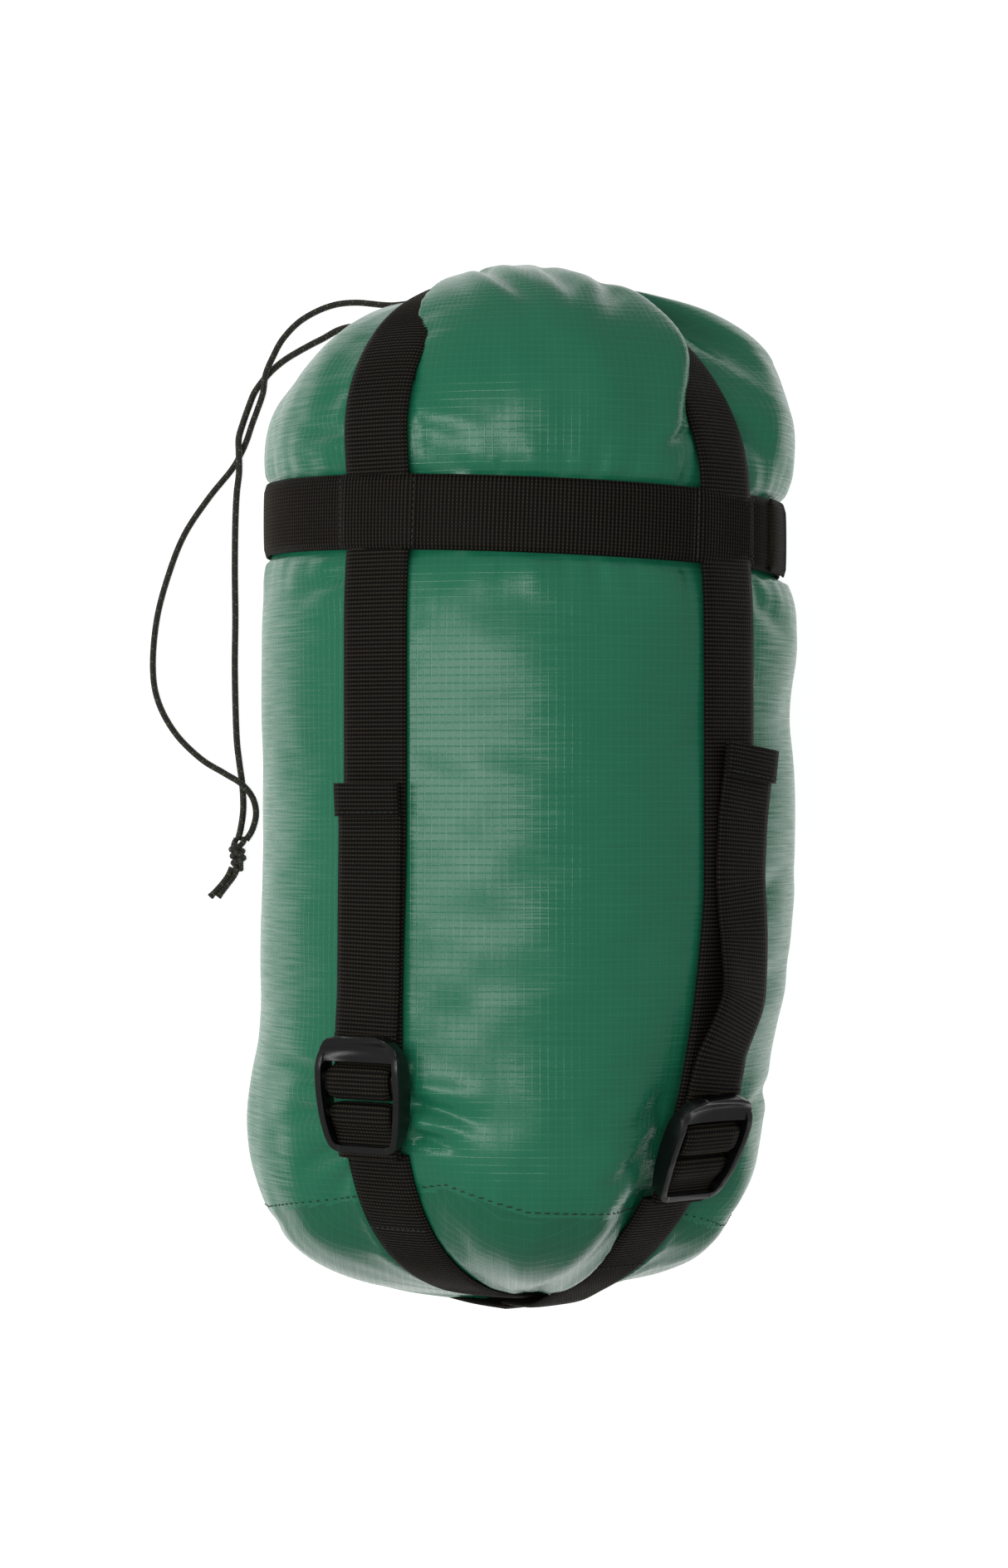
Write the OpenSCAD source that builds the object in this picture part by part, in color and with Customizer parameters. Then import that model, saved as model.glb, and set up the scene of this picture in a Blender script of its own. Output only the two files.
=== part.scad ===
/* [Sack] */
// Radius of the packed cloth tube
sack_r = 92.5; // [90:0.5:96]
// Height of the tube's centre line over the floor it lies on
axis_h = 88; // [86:0.5:89]
// Half the length of the cloth, from the middle to either end
cloth_half = 177.3; // [170:0.1:186]
// Thickness of the cloth shell
cloth_t = 1; // [0.6:0.1:1.5]
// Distance from the middle to the bottom panel's seam
seam_y = 147; // [142:1:152]

/* [Webbing] */
// Width of the straps
strap_w = 25; // [20:1:26]
// Thickness of the straps
strap_t = 1.7; // [1.2:0.1:1.8]
// Turn of the left strap's plane round the sack, from straight up
left_turn = -34; // [-40:1:-28]
// Turn of the right strap's plane round the sack, from straight up
right_turn = 42.5; // [38:0.5:50]
// Width of the hollow that a tight strap pulls into each end
hollow_w = 40; // [38:1:44]
// Middle of the girth band, towards the mouth
band_y = 88; // [80:1:92]
// Thickness of the girth band
band_t = 1.4; // [1:0.1:1.6]

/* [Ladder locks] */
// Outside width of a ladder lock
lock_w = 34; // [33:0.5:35]
// Length of a ladder lock
lock_l = 39; // [38:0.5:40]
// Height of a ladder lock's side rails
lock_h = 7; // [6:0.5:8]
// Middle of the left ladder lock along the sack
left_lock_y = -102.5; // [-106:0.5:-98]
// Middle of the right ladder lock along the sack
right_lock_y = -120.5; // [-124:0.5:-116]
// Length of the left free tail
left_tail_l = 84; // [60:1:100]
// Length of the right free tail
right_tail_l = 116; // [80:1:124]

/* [Drawcord] */
// Diameter of the drawcord
cord_d = 2.4; // [2:0.1:2.6]
// Place of the closed mouth across the sack
mouth_x = -3; // [-4:1:-2]
// Height of the closed mouth over the floor
mouth_z = 47; // [46:0.5:48]
// Height of the cord lock over the floor
cord_lock_z = 18; // [16:0.5:20]

/* [Hidden] */
$fn = 96;

cloth_colour = [0.20, 0.42, 0.33];
cloth_dark = [0.15, 0.31, 0.24];
webbing_colour = [0.13, 0.12, 0.10];
thread_colour = [0.07, 0.12, 0.10];
plastic_colour = [0.06, 0.06, 0.07];
cord_colour = [0.20, 0.20, 0.16];

left = 0;
right = 1;
turn = [left_turn, right_turn];
lock_y = [left_lock_y, right_lock_y];
tail_l = [left_tail_l, right_tail_l];

gap = 0.2;             // between layers that lie on each other in one body
free_gap = 0.3;        // between layers of two bodies
far = 300;             // past every part
dome_steps = 9;
packing_gap = 0.5;     // between the cloth and what it holds

// Ends of the cloth and of each strap's line: [start of the curve, pole, roundness], mouth end then base
cloth_ends = [[120, cloth_half, 2.4], [95, cloth_half, 2.8]];
cross_pole = [cloth_half + gap, cloth_half + 2 * gap + strap_t];
strap_ends = [
    [[115, cross_pole[left], 2.1], [90, cross_pole[left], 2.4]],
    [[95, cross_pole[right], 1.75], [70, cross_pole[right], 1.9]]
];
// Half length of the flat where the right strap crosses over the left one
cross_flat = [0, 15.6];
cross_ramp = 10;

// A quarter outline from [r, start] to the pole [0, pole], rounded as a superellipse
function quarter(r, end, flat = 0) = concat(
    [for (i = [0 : dome_steps])
        let (a = 90 * i / dome_steps, x = r * pow(cos(a), 2 / end[2]))
        if (flat == 0 || x > flat + cross_ramp)
            [i == dome_steps ? 0 : x, end[0] + (end[1] - end[0]) * pow(sin(a), 2 / end[2])]],
    flat == 0 ? [] : [[flat, end[1]], [0, end[1]]]
);
function reversed(list) = [for (i = [len(list) - 1 : -1 : 0]) list[i]];
function base_side(points) = [for (p = points) [p[0], -p[1]]];
// Half outline from the base pole round to the mouth pole
function half_outline(r, ends, flat = 0) = concat(
    reversed(base_side(quarter(r, ends[1], flat))), quarter(r, ends[0], flat));
function inset_ends(ends, d) = [for (e = ends) [e[0], e[1] - d, e[2]]];

// Closed line of a strap in its own plane, moved outwards by d
function strap_half(side) = half_outline(sack_r + gap, strap_ends[side], cross_flat[side]);
function strap_loop(side) = let (h = strap_half(side)) concat(
    h, [for (i = [len(h) - 2 : -1 : 1]) [-h[i][0], h[i][1]]]);
function outward(list, i) = let (
    n = len(list),
    t = list[(i + 1) % n] - list[(i + n - 1) % n]
) [t[1], -t[0]] / norm(t);
function offset_loop(list, d) = [for (i = [0 : len(list) - 1]) list[i] + d * outward(list, i)];

// Radius and slope of a strap's line at a place y on the base end
function line_t(side, y) = (-y - strap_ends[side][1][0]) / (strap_ends[side][1][1] - strap_ends[side][1][0]);
function line_r(side, y) = let (t = max(line_t(side, y), 0), p = strap_ends[side][1][2])
    (sack_r + gap) * pow(1 - pow(t, p), 1 / p);
function line_slope(side, y) = atan2(line_r(side, y + 1) - line_r(side, y - 1), 2);

// Sack's frame: local Z along the sack towards the mouth, local Y down
module along_sack() {
    translate([0, 0, axis_h]) rotate([-90, 0, 0]) children();
}
// A strap's plane: local X out from the centre line, local Y along the sack, local Z across the strap
module in_strap_plane(side) {
    translate([0, 0, axis_h]) rotate([0, turn[side] - 90, 0]) children();
}
// Part of a strap's ring between two offsets, cut to a window of its plane
module ribbon(side, inner, outer, window_min, window_max, width = strap_w) {
    in_strap_plane(side) linear_extrude(width, center = true) intersection() {
        difference() {
            polygon(offset_loop(strap_loop(side), outer));
            polygon(offset_loop(strap_loop(side), inner));
        }
        translate(window_min) square(window_max - window_min);
    }
}
// Ladder lock's frame: local Y along the strap towards the mouth, local Z outwards from the strap
module at_lock(side) {
    y = lock_y[side];
    translate([0, 0, axis_h]) rotate([0, turn[side], 0])
        translate([0, y, line_r(side, y) + strap_t / cos(line_slope(side, y))])
            rotate([line_slope(side, y), 0, 0]) children();
}
// Solid from an outline [along, out], extruded across a ladder lock
module lock_bar(outline, width) {
    rotate([90, 0, 90]) linear_extrude(width, center = true) polygon(outline);
}

// ---- cloth and what fills it ----
module tube_outline(d) {
    along_sack() rotate_extrude() polygon(half_outline(sack_r - d, inset_ends(cloth_ends, d)));
}
module strap_hollow(side, d) {
    in_strap_plane(side) linear_extrude(hollow_w + 2 * d, center = true) difference() {
        square(2 * far, center = true);
        polygon(offset_loop(strap_loop(side), -gap - d));
    }
}
module sack_solid(d) {
    band_slot_w = strap_w + 2;
    difference() {
        intersection() {
            tube_outline(d);
            translate([-far, -far, d]) cube([2 * far, 2 * far, far]);
        }
        strap_hollow(left, d);
        strap_hollow(right, d);
        translate([-far, band_y - band_slot_w / 2 - d, -far])
            cube([2 * far, band_slot_w + 2 * d, far + band_t + gap + d]);
    }
}
module cloth_shell() {
    difference() {
        sack_solid(0);
        sack_solid(cloth_t);
    }
}
module packed_clothing() {
    color("gainsboro") sack_solid(cloth_t + packing_gap);
}
module body_panel() {
    color(cloth_colour) intersection() {
        cloth_shell();
        translate([-far, -seam_y, -far]) cube([2 * far, 2 * far, 2 * far]);
    }
}
module bottom_panel() {
    color(cloth_dark) intersection() {
        cloth_shell();
        translate([-far, -seam_y - 2 * far, -far]) cube([2 * far, 2 * far, 2 * far]);
    }
}
// Row of stitches round the bottom seam, left out under the straps and on the floor
module bottom_seam_thread() {
    stitch = [5, 0.6, 0.8];
    t = (seam_y - cloth_ends[1][0]) / (cloth_half - cloth_ends[1][0]);
    seam_r = sack_r * pow(1 - pow(t, cloth_ends[1][2]), 1 / cloth_ends[1][2]);
    color(thread_colour) for (a = [-140 : 8 : 140])
        if (clear_of_straps(a, 18))
            translate([0, -seam_y - 1.5, axis_h]) rotate([0, a, 0])
                translate([0, 0, seam_r + 0.2 + stitch[2] / 2]) cube(stitch, center = true);
}
function turn_between(a, b) = abs((a - b + 540) % 360 - 180);
function clear_of_straps(a, margin) = min([for (s = turn) for (back = [0, 180])
    turn_between(a, s + back)]) > margin;

// ---- closed mouth ----
hem_y = [170.5, 181];
hem_channel_r = 7;
hem_mid_y = 176;
module mouth_frame() {
    translate([mouth_x, 0, mouth_z]) rotate([-90, 0, 0]) children();
}
module mouth_hem() {
    pleats = 12;
    hem_r = 11;
    pleat_depth = 1.2;
    channel_d = cord_d + 0.8;
    slot = [cord_d + 0.6, 2 * cord_d + 1.2, hem_r + 2];
    color(cloth_dark) difference() {
        mouth_frame() translate([0, 0, hem_y[0]]) linear_extrude(hem_y[1] - hem_y[0])
            polygon([for (a = [0 : 6 : 354]) (hem_r + pleat_depth * cos(pleats * a)) * [cos(a), sin(a)]]);
        sack_solid(-0.1);
        mouth_frame() translate([0, 0, hem_mid_y]) rotate_extrude()
            translate([hem_channel_r, 0]) circle(d = channel_d, $fn = 24);
        translate([mouth_x, hem_mid_y, mouth_z - hem_channel_r - slot[2] / 2]) cube(slot, center = true);
    }
}
module hem_cord_loop() {
    color(cord_colour) mouth_frame() translate([0, 0, hem_mid_y]) rotate_extrude()
        translate([hem_channel_r, 0]) circle(d = cord_d, $fn = 24);
}

// ---- webbing ----
module girth_band() {
    inner_r = sack_r + 2.9;
    w = strap_w;
    color(webbing_colour) difference() {
        intersection() {
            along_sack() translate([0, 0, band_y - w / 2]) cylinder(r = inner_r + band_t, h = w);
            translate([-far, -far, 0]) cube([2 * far, 2 * far, far]);
        }
        intersection() {
            along_sack() translate([0, 0, band_y - w]) cylinder(r = inner_r, h = 2 * w);
            translate([-far, -far, band_t]) cube([2 * far, 2 * far, far]);
        }
    }
}
// Two lines of stitching across the band at each strap
module girth_band_thread() {
    line = [0.8, strap_w - 4, 0.5];
    color(thread_colour) for (s = turn) for (back = [0, 180]) for (edge = [-8.5, 8.5])
        translate([0, band_y, axis_h]) rotate([0, s + back + edge, 0])
            translate([0, 0, sack_r + 2.9 + band_t + line[2] / 2]) cube(line, center = true);
}
// From the lock bar up the front, over the mouth end and down the back to the bottom seam
module long_strap(side) {
    front_end = lock_y[side] - 1;
    back_end = -seam_y + 2;
    color(webbing_colour) {
        ribbon(side, 0, strap_t, [0, front_end], [far, far]);
        ribbon(side, 0, strap_t, [-far, back_end], [0, far]);
    }
}
// From the back of the bottom seam, across the base, to the ladder lock, with its end folded back
fold_l = 28;
module buckle_strap(side) {
    s = line_slope(side, lock_y[side]);
    front_end = lock_y[side] - (lock_l / 2 + 0.8) * cos(s) - 1.7 * sin(s);
    color(webbing_colour) {
        ribbon(side, 0, strap_t, [0, -far], [far, front_end]);
        ribbon(side, 0, strap_t, [-far, -far], [0, -seam_y + 1.5]);
        ribbon(side, strap_t, strap_t + 1.5, [0, front_end - fold_l], [far, front_end - 1]);
    }
}
module loop_thread(side) {
    s = line_slope(side, lock_y[side]);
    y = lock_y[side] - (lock_l / 2) * cos(s) - fold_l;
    color(thread_colour) ribbon(side, strap_t + 1.5, strap_t + 1.9, [0, y + 1], [far, y + 2.5], strap_w - 4);
}

// ---- ladder locks ----
rim_y = -lock_l / 2;
tab_y = lock_l / 2;
clear_w = strap_w + 2;
module ladder_lock(side) {
    rail = (lock_w - clear_w) / 2;
    tab_outline = [[11.2, 2.6], [15, 2.3], [tab_y, 2.4], [tab_y + 0, 6.6], [17.6, lock_h], [15.5, 4.9], [11.2, 4.6]];
    color(plastic_colour) at_lock(side) {
        difference() {
            intersection() {
                linear_extrude(lock_h) difference() {
                    lock_outline(lock_w, 0);
                    lock_outline(clear_w, rail);
                }
                lock_bar(rail_side, 2 * lock_w);
            }
            // Ways for the webbing loop under the rim and for the strap under the tab
            lock_bar([[rim_y - 1, -1], [-15, -1], [-15, 3.7], [rim_y - 1, 3.7]], strap_w - 2.4);
            lock_bar([[15, -1], [tab_y + 1, -1], [tab_y + 1, 2.3], [15, 2.3]], strap_w + 0.6);
        }
        intersection() {
            linear_extrude(2 * lock_h) lock_outline(lock_w, 0);
            union() {
                lock_bar([[rim_y, 3.7], [-15.8, 3.7], [-15.8, 5.6], [rim_y + 1, 5.6], [rim_y, 5]], lock_w);
                lock_bar([[-8, 2], [-5, 2], [-5, 4.2], [-8, 4.2]], clear_w + rail);
                lock_bar([[0.6, 2.2], [7.4, 2.2], [7.4, 4.6], [6.4, 5.2], [1.6, 5.2], [0.6, 4.6]], clear_w + rail);
                lock_bar(tab_outline, lock_w);
            }
        }
    }
}
// Side view of the rails, low at the rim and full at the middle
rail_side = [
    [rim_y, free_gap + 1.4], [rim_y + 1, free_gap], [tab_y - 4, free_gap], [tab_y, 2.4], [tab_y, 6.6],
    [tab_y - 1.9, lock_h], [4, lock_h], [-8, lock_h - 0.3], [rim_y + 1, 5.6], [rim_y, 5]
];
// Plan of a lock: wide with round corners at the tab, narrower at the rim
module lock_outline(w, shrink) {
    corner = 6.5 - shrink;
    foot = 3.5 - shrink / 2;
    taper = 2;
    hull() {
        for (x = [-1, 1]) {
            translate([x * (w / 2 - corner), tab_y - shrink - corner]) circle(corner, $fn = 32);
            translate([x * (w / 2 - taper - foot), rim_y + shrink + foot]) circle(foot, $fn = 32);
        }
    }
}
// Webbing sewn round the lock's lower bar
module webbing_loop(side) {
    bar_gap = 0.1;
    color(webbing_colour) at_lock(side) rotate([90, 0, 90]) linear_extrude(strap_w - 3, center = true)
        difference() {
            polygon([
                [rim_y + 0.3, free_gap + 1.4], [rim_y + 1.4, free_gap], [-4.4, free_gap], [-3.3, 1.4],
                [-3.3, 4.8], [-4.4, 5.8], [-8.2, 5.8], [-10.6, 3.5], [rim_y + 0.3, 3.5]
            ]);
            translate([-8 - bar_gap, 2 - bar_gap]) square([3 + 2 * bar_gap, 2.2 + 2 * bar_gap]);
        }
}
// Strap going up through the gap, over the lock bar, down and out under the tab
module strap_wrap(side) {
    color(webbing_colour) at_lock(side) lock_bar([
        [-1.1, free_gap], [0.5, free_gap], [0.5, 4.7], [1.5, 5.3], [6.5, 5.3], [7.5, 4.7], [7.5, 2],
        [8, free_gap], [tab_y, free_gap], [tab_y, 2], [9.2, 2], [9.2, 5.4], [7.6, 6.9], [0.4, 6.9], [-1.1, 5.4]
    ], strap_w);
}
// Free tail, lying on its strap from the tab towards the mouth
function tail_from(side) = let (s = line_slope(side, lock_y[side]))
    lock_y[side] + (tab_y + 0.4) * cos(s);
tail_t = 1.6;
module strap_tail(side) {
    color(webbing_colour) ribbon(side, strap_t + free_gap, strap_t + free_gap + tail_t,
        [0, tail_from(side)], [far, tail_from(side) + tail_l[side]]);
}
// End of the tail folded over and sewn, with its line of stitches
module tail_hem(side) {
    hem_l = 11;
    base = strap_t + free_gap + tail_t;
    end_y = tail_from(side) + tail_l[side];
    color(webbing_colour) {
        ribbon(side, base, base + 1.4, [0, end_y - hem_l], [far, end_y]);
        ribbon(side, base + 1.4, base + 1.7, [0, end_y - hem_l + 1], [far, end_y - hem_l + 2], strap_w - 2);
    }
}

// ---- drawcord ----
cord_r = cord_d / 2;
low = 1.3;
hump = 3.9;
drop_y = hem_mid_y;
pair = 1.35;           // half the spacing of the two strands where they hang side by side
upper_route = [
    [mouth_x, drop_y + pair, 37], [mouth_x, drop_y + pair, 8], [mouth_x - 1, 177.5, 4],
    [mouth_x - 4.5, 178, 1.8], [mouth_x - 10, 179, low], [-24, 181, low], [-36, 181.7, low], [-50, 180, low], [-64, 181, low], [-74, 179.5, low],
    [-84, 174.5, low], [-91, 167.5, low], [-95, 160, 2.6], [-97.5, 153.5, hump], [-98.5, 147, 2.6],
    [-100.6, 141, low], [-102.8, 135, low], [-104.6, 129.5, low], [-107, 124, low], [-110.5, 118, low],
    [-119, 107.5, low], [-128, 94, low], [-134, 79, low], [-138.5, 62, low], [-140, 44, low],
    [-138, 31, low], [-131.5, 19, low], [-122, 9.5, low], [-113, 4, 2.6], [-106.5, 0, hump],
    [-102.5, -5, 2.6], [-101.2, -11, low], [-102.5, -17, 1.8], [-104.8, -21, 2.6]
];
lower_route = [
    [mouth_x, drop_y - pair, 37], [mouth_x, drop_y - pair, 8], [mouth_x - 1, 174, 4],
    [mouth_x - 4.5, 173.5, 1.8], [mouth_x - 10, 173, low], [-24, 171.8, low], [-40, 171.5, low], [-65, 172, low], [-77, 167, low], [-88, 161, low],
    [-93.5, 157, low], [-97.5, 153, low], [-101.6, 147.5, low], [-103.9, 142, low], [-106, 136, low],
    [-107.6, 130, 2.6], [-107.5, 124, hump], [-107.5, 117, 2.6], [-108.5, 109, low], [-109, 98, low],
    [-109.2, 80, low], [-109, 62, low], [-109.2, 43, low], [-108.6, 19, low], [-107.5, 8, low],
    [-106.4, 0, low], [-106, -9, low], [-106.8, -16, 1.8], [-107.9, -21, 2.6]
];
knot_at = [-108, -26.5, 3.4];
sides = 8;

function unit(v) = v / norm(v);
function route_way(route, i) = unit(route[min(i + 1, len(route) - 1)] - route[max(i - 1, 0)]);
function ring(route, i, r) = let (
    t = route_way(route, i), a = unit(cross(t, [1, 1, 1])), b = cross(t, a)
) [for (k = [0 : sides - 1]) route[i] + r * (cos(360 * k / sides) * a + sin(360 * k / sides) * b)];
// Tube with one ring of corners at each point of its route
module tube(route, r) {
    last = len(route) - 1;
    polyhedron(
        points = [for (i = [0 : last]) each ring(route, i, r)],
        faces = concat(
            [[for (k = [0 : sides - 1]) k]],
            [for (i = [0 : last - 1]) for (k = [0 : sides - 1]) let (n = (k + 1) % sides)
                each [[i * sides + k, (i + 1) * sides + k, (i + 1) * sides + n],
                    [i * sides + k, (i + 1) * sides + n, i * sides + n]]],
            [[for (k = [sides - 1 : -1 : 0]) last * sides + k]]
        ));
}
module drawcord_upper_strand() {
    color(cord_colour) tube(upper_route, cord_r);
}
module drawcord_lower_strand() {
    color(cord_colour) tube(lower_route, cord_r);
}
// Both strands tied in one knot, with their doubled ends beyond it
module drawcord_knot() {
    knot_r = 3.3;
    body_l = 3.4;
    tail_route = [[-109, -31, 2.6], [-110.5, -33.5, 2.4], [-113, -37, 2.2], [-117, -42, 2.2]];
    color(cord_colour) {
        translate(knot_at) rotate([90, 0, -8]) {
            cylinder(r = knot_r, h = body_l, center = true, $fn = 32);
            translate([0, 0, body_l / 2]) sphere(knot_r, $fn = 32);
            translate([0, 0, -body_l / 2]) sphere(knot_r, $fn = 32);
        }
        tube(tail_route, 2.1);
    }
}

// ---- cord lock ----
barrel_r = 6;
barrel_x = [-8, 7.6];
bore_r = 4.5;
bore_floor = 1.6;
plunger_travel = 3;
button_gap = plunger_travel + 0.4;
plunger_back = -2.8;
module cord_lock_frame() {
    translate([mouth_x, drop_y, cord_lock_z]) rotate([0, 90, 0]) children();
}
module cord_lock_barrel() {
    slot = [cord_d + 0.5, 2 * cord_d + 0.8, 4 * barrel_r];
    color(plastic_colour) difference() {
        cord_lock_frame() difference() {
            translate([0, 0, barrel_x[0]]) cylinder(r = barrel_r, h = barrel_x[1] - barrel_x[0]);
            translate([0, 0, barrel_x[0] + bore_floor]) cylinder(r = bore_r, h = 4 * barrel_r);
        }
        translate([mouth_x, drop_y, cord_lock_z]) cube(slot, center = true);
    }
}
module cord_lock_plunger() {
    stem_r = bore_r - 0.05;
    button_r = 5.4;
    button_t = 3;
    slot_x = cord_d + 0.6 + plunger_travel;
    slot = [slot_x, 2 * cord_d + 0.8, 4 * barrel_r];
    stem_end = barrel_x[1] + button_gap;
    color(plastic_colour) difference() {
        cord_lock_frame() {
            translate([0, 0, plunger_back]) cylinder(r = stem_r, h = stem_end - plunger_back + 0.5);
            translate([0, 0, stem_end]) cylinder(r = button_r, h = button_t);
        }
        translate([mouth_x + plunger_travel / 2, drop_y, cord_lock_z]) cube(slot, center = true);
    }
}
module cord_lock_spring() {
    spring_r = 3.6;
    wire = 0.7;
    free_l = plunger_back - barrel_x[0] - bore_floor - 0.1;
    color("silver") cord_lock_frame() translate([0, 0, barrel_x[0] + bore_floor + 0.05]) difference() {
        cylinder(r = spring_r, h = free_l);
        translate([0, 0, -1]) cylinder(r = spring_r - wire, h = free_l + 2);
    }
}

packed_clothing();
body_panel();
bottom_panel();
mouth_hem();
hem_cord_loop();
bottom_seam_thread();
girth_band();
girth_band_thread();
long_strap(left);  // left_long_strap
buckle_strap(left);  // left_buckle_strap
loop_thread(left);  // left_loop_thread
ladder_lock(left);  // left_ladder_lock
webbing_loop(left);  // left_webbing_loop
strap_wrap(left);  // left_strap_wrap
strap_tail(left);  // left_strap_tail
tail_hem(left);  // left_tail_hem
long_strap(right);  // right_long_strap
buckle_strap(right);  // right_buckle_strap
loop_thread(right);  // right_loop_thread
ladder_lock(right);  // right_ladder_lock
webbing_loop(right);  // right_webbing_loop
strap_wrap(right);  // right_strap_wrap
strap_tail(right);  // right_strap_tail
tail_hem(right);  // right_tail_hem
drawcord_upper_strand();
drawcord_lower_strand();
drawcord_knot();
cord_lock_barrel();
cord_lock_plunger();
cord_lock_spring();
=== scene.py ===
import math
import bpy
import bmesh
import numpy as np
from mathutils import Matrix, Vector
from mathutils.bvhtree import BVHTree


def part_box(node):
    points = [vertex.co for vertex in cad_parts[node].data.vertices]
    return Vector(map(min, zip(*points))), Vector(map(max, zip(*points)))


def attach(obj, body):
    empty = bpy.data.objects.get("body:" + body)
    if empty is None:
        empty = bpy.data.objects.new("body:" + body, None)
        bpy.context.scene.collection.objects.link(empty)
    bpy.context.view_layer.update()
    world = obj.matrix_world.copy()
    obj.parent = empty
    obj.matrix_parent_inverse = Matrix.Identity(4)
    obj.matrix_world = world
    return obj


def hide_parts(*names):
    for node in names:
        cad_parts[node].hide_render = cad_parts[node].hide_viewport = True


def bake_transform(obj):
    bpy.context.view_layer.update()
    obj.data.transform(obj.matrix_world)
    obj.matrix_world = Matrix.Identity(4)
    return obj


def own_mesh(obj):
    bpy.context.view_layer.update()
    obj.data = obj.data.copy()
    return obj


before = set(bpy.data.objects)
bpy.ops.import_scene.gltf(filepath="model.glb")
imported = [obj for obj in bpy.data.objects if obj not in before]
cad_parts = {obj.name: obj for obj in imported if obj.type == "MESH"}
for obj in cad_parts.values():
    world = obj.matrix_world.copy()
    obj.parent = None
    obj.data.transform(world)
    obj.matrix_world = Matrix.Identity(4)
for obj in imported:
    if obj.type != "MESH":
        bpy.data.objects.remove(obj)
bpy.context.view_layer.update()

mm = 0.001
wholeTurn = 2 * math.pi


def smooth(t):  # 0 to 1 with soft ends
    t = np.clip(t, 0, 1)
    return t * t * (3 - 2 * t)


def bump(x, width):
    return np.exp(-(x / width) ** 2)


def angleFrom(theta, turn):  # signed, and right across the half turn
    return np.angle(np.exp(1j * (theta - turn)))


def wavyTable(count, seed):
    return np.random.default_rng(seed).uniform(-1, 1, count)


def wavy(x, table):  # smooth random line through a table, one step per unit of x
    x = np.asarray(x, float)
    n = len(table)
    low = np.floor(x).astype(int)
    t = smooth(x - low)
    return table[low % n] * (1 - t) + table[(low + 1) % n] * t


def wavyField(x, y, seed):  # the same in two directions
    table = np.random.default_rng(seed).uniform(-1, 1, (64, 64))
    i, j = np.floor(x).astype(int), np.floor(y).astype(int)
    s, t = smooth(x - i), smooth(y - j)
    a, b = table[i % 64, j % 64], table[(i + 1) % 64, j % 64]
    c, d = table[i % 64, (j + 1) % 64], table[(i + 1) % 64, (j + 1) % 64]
    return (a * (1 - s) + b * s) * (1 - t) + (c * (1 - s) + d * s) * t


def unit(vectors):
    return vectors / np.linalg.norm(vectors, axis=1)[:, None]


def runAlong(points):  # distance from the first point to each point
    return np.concatenate([[0], np.cumsum(np.linalg.norm(np.diff(points, axis=0), axis=1))])


def soften(line, times):
    for _ in range(times):
        line[1:-1] = (line[:-2] + 2 * line[1:-1] + line[2:]) / 4
    return line


def resample(points, step):
    points = np.asarray(points, float)
    run = runAlong(points)
    at = np.linspace(0, run[-1], max(2, int(round(run[-1] / step)) + 1))
    return np.stack([np.interp(at, run, points[:, k]) for k in range(points.shape[1])], axis=1), at


def softCurve(points, per=12):  # smooth curve through given points
    p = np.asarray(points, float)
    p = np.vstack([2 * p[0] - p[1], p, 2 * p[-1] - p[-2]])
    out = []
    for i in range(1, len(p) - 2):
        a, b, c, d = p[i - 1:i + 3]
        for t in np.linspace(0, 1, per, endpoint=False):
            out.append(0.5 * (2 * b + (c - a) * t + (2 * a - 5 * b + 4 * c - d) * t ** 2
                              + (3 * b - a - 3 * c + d) * t ** 3))
    out.append(p[-2])
    return np.array(out)


def addObject(name, data):
    piece = bpy.data.objects.new(name, data)
    bpy.context.collection.objects.link(piece)
    return piece


def cornerVertices(mesh):
    corner = np.empty(len(mesh.loops), int)
    mesh.loops.foreach_get("vertex_index", corner)
    return corner


def meshPiece(name, points, faces, material, uv=None, shade=True):
    mesh = bpy.data.meshes.new(name)
    mesh.from_pydata([tuple(p) for p in points], [], faces)
    if uv is not None:
        layer = mesh.uv_layers.new(name="UVMap")
        layer.data.foreach_set("uv", np.asarray(uv, float)[cornerVertices(mesh)].ravel())
    mesh.polygons.foreach_set("use_smooth", [shade] * len(mesh.polygons))
    mesh.materials.append(material)
    return addObject(name, mesh)


def meshPoints(piece):
    co = np.empty(len(piece.data.vertices) * 3)
    piece.data.vertices.foreach_get("co", co)
    return co.reshape(-1, 3)


def setPoints(piece, co):
    piece.data.vertices.foreach_set("co", np.asarray(co, float).ravel())
    piece.data.update()


def faceOutwards(piece, merge=None):
    work = bmesh.new()
    work.from_mesh(piece.data)
    if merge:
        bmesh.ops.remove_doubles(work, verts=work.verts, dist=merge)
    bmesh.ops.recalc_face_normals(work, faces=work.faces)
    work.to_mesh(piece.data)
    work.free()
    return piece


def applyModifiers(piece):
    bpy.context.view_layer.update()
    graph = bpy.context.evaluated_depsgraph_get()
    done = bpy.data.meshes.new_from_object(piece.evaluated_get(graph), depsgraph=graph)
    piece.modifiers.clear()
    old = piece.data
    piece.data = done
    done.name = old.name
    bpy.data.meshes.remove(old)


def joinPieces(name, pieces):
    whole = bmesh.new()
    for p in pieces:
        whole.from_mesh(p.data)
    mesh = bpy.data.meshes.new(name)
    for m in pieces[0].data.materials:
        mesh.materials.append(m)
    whole.to_mesh(mesh)
    whole.free()
    for p in pieces:
        bpy.data.objects.remove(p)
    mesh.polygons.foreach_set("use_smooth", [True] * len(mesh.polygons))
    return addObject(name, mesh)


def fit(piece, slot, body, *nodes):  # finish slot (not used), the body it rides on, and the nodes it stands for
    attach(piece, body)
    if nodes:
        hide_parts(*nodes)
    return piece


def newMaterial(name):
    material = bpy.data.materials.new(name)
    material.use_nodes = True
    return material, material.node_tree, material.node_tree.nodes["Principled BSDF"]


def addNode(tree, kind, links=(), inputs=(), **values):
    node = tree.nodes.new(kind)
    for key, value in values.items():
        setattr(node, key, value)
    for socket, value in dict(inputs).items():
        node.inputs[socket].default_value = value
    for socket, source in dict(links).items():
        tree.links.new(source, node.inputs[socket])
    return node


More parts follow.
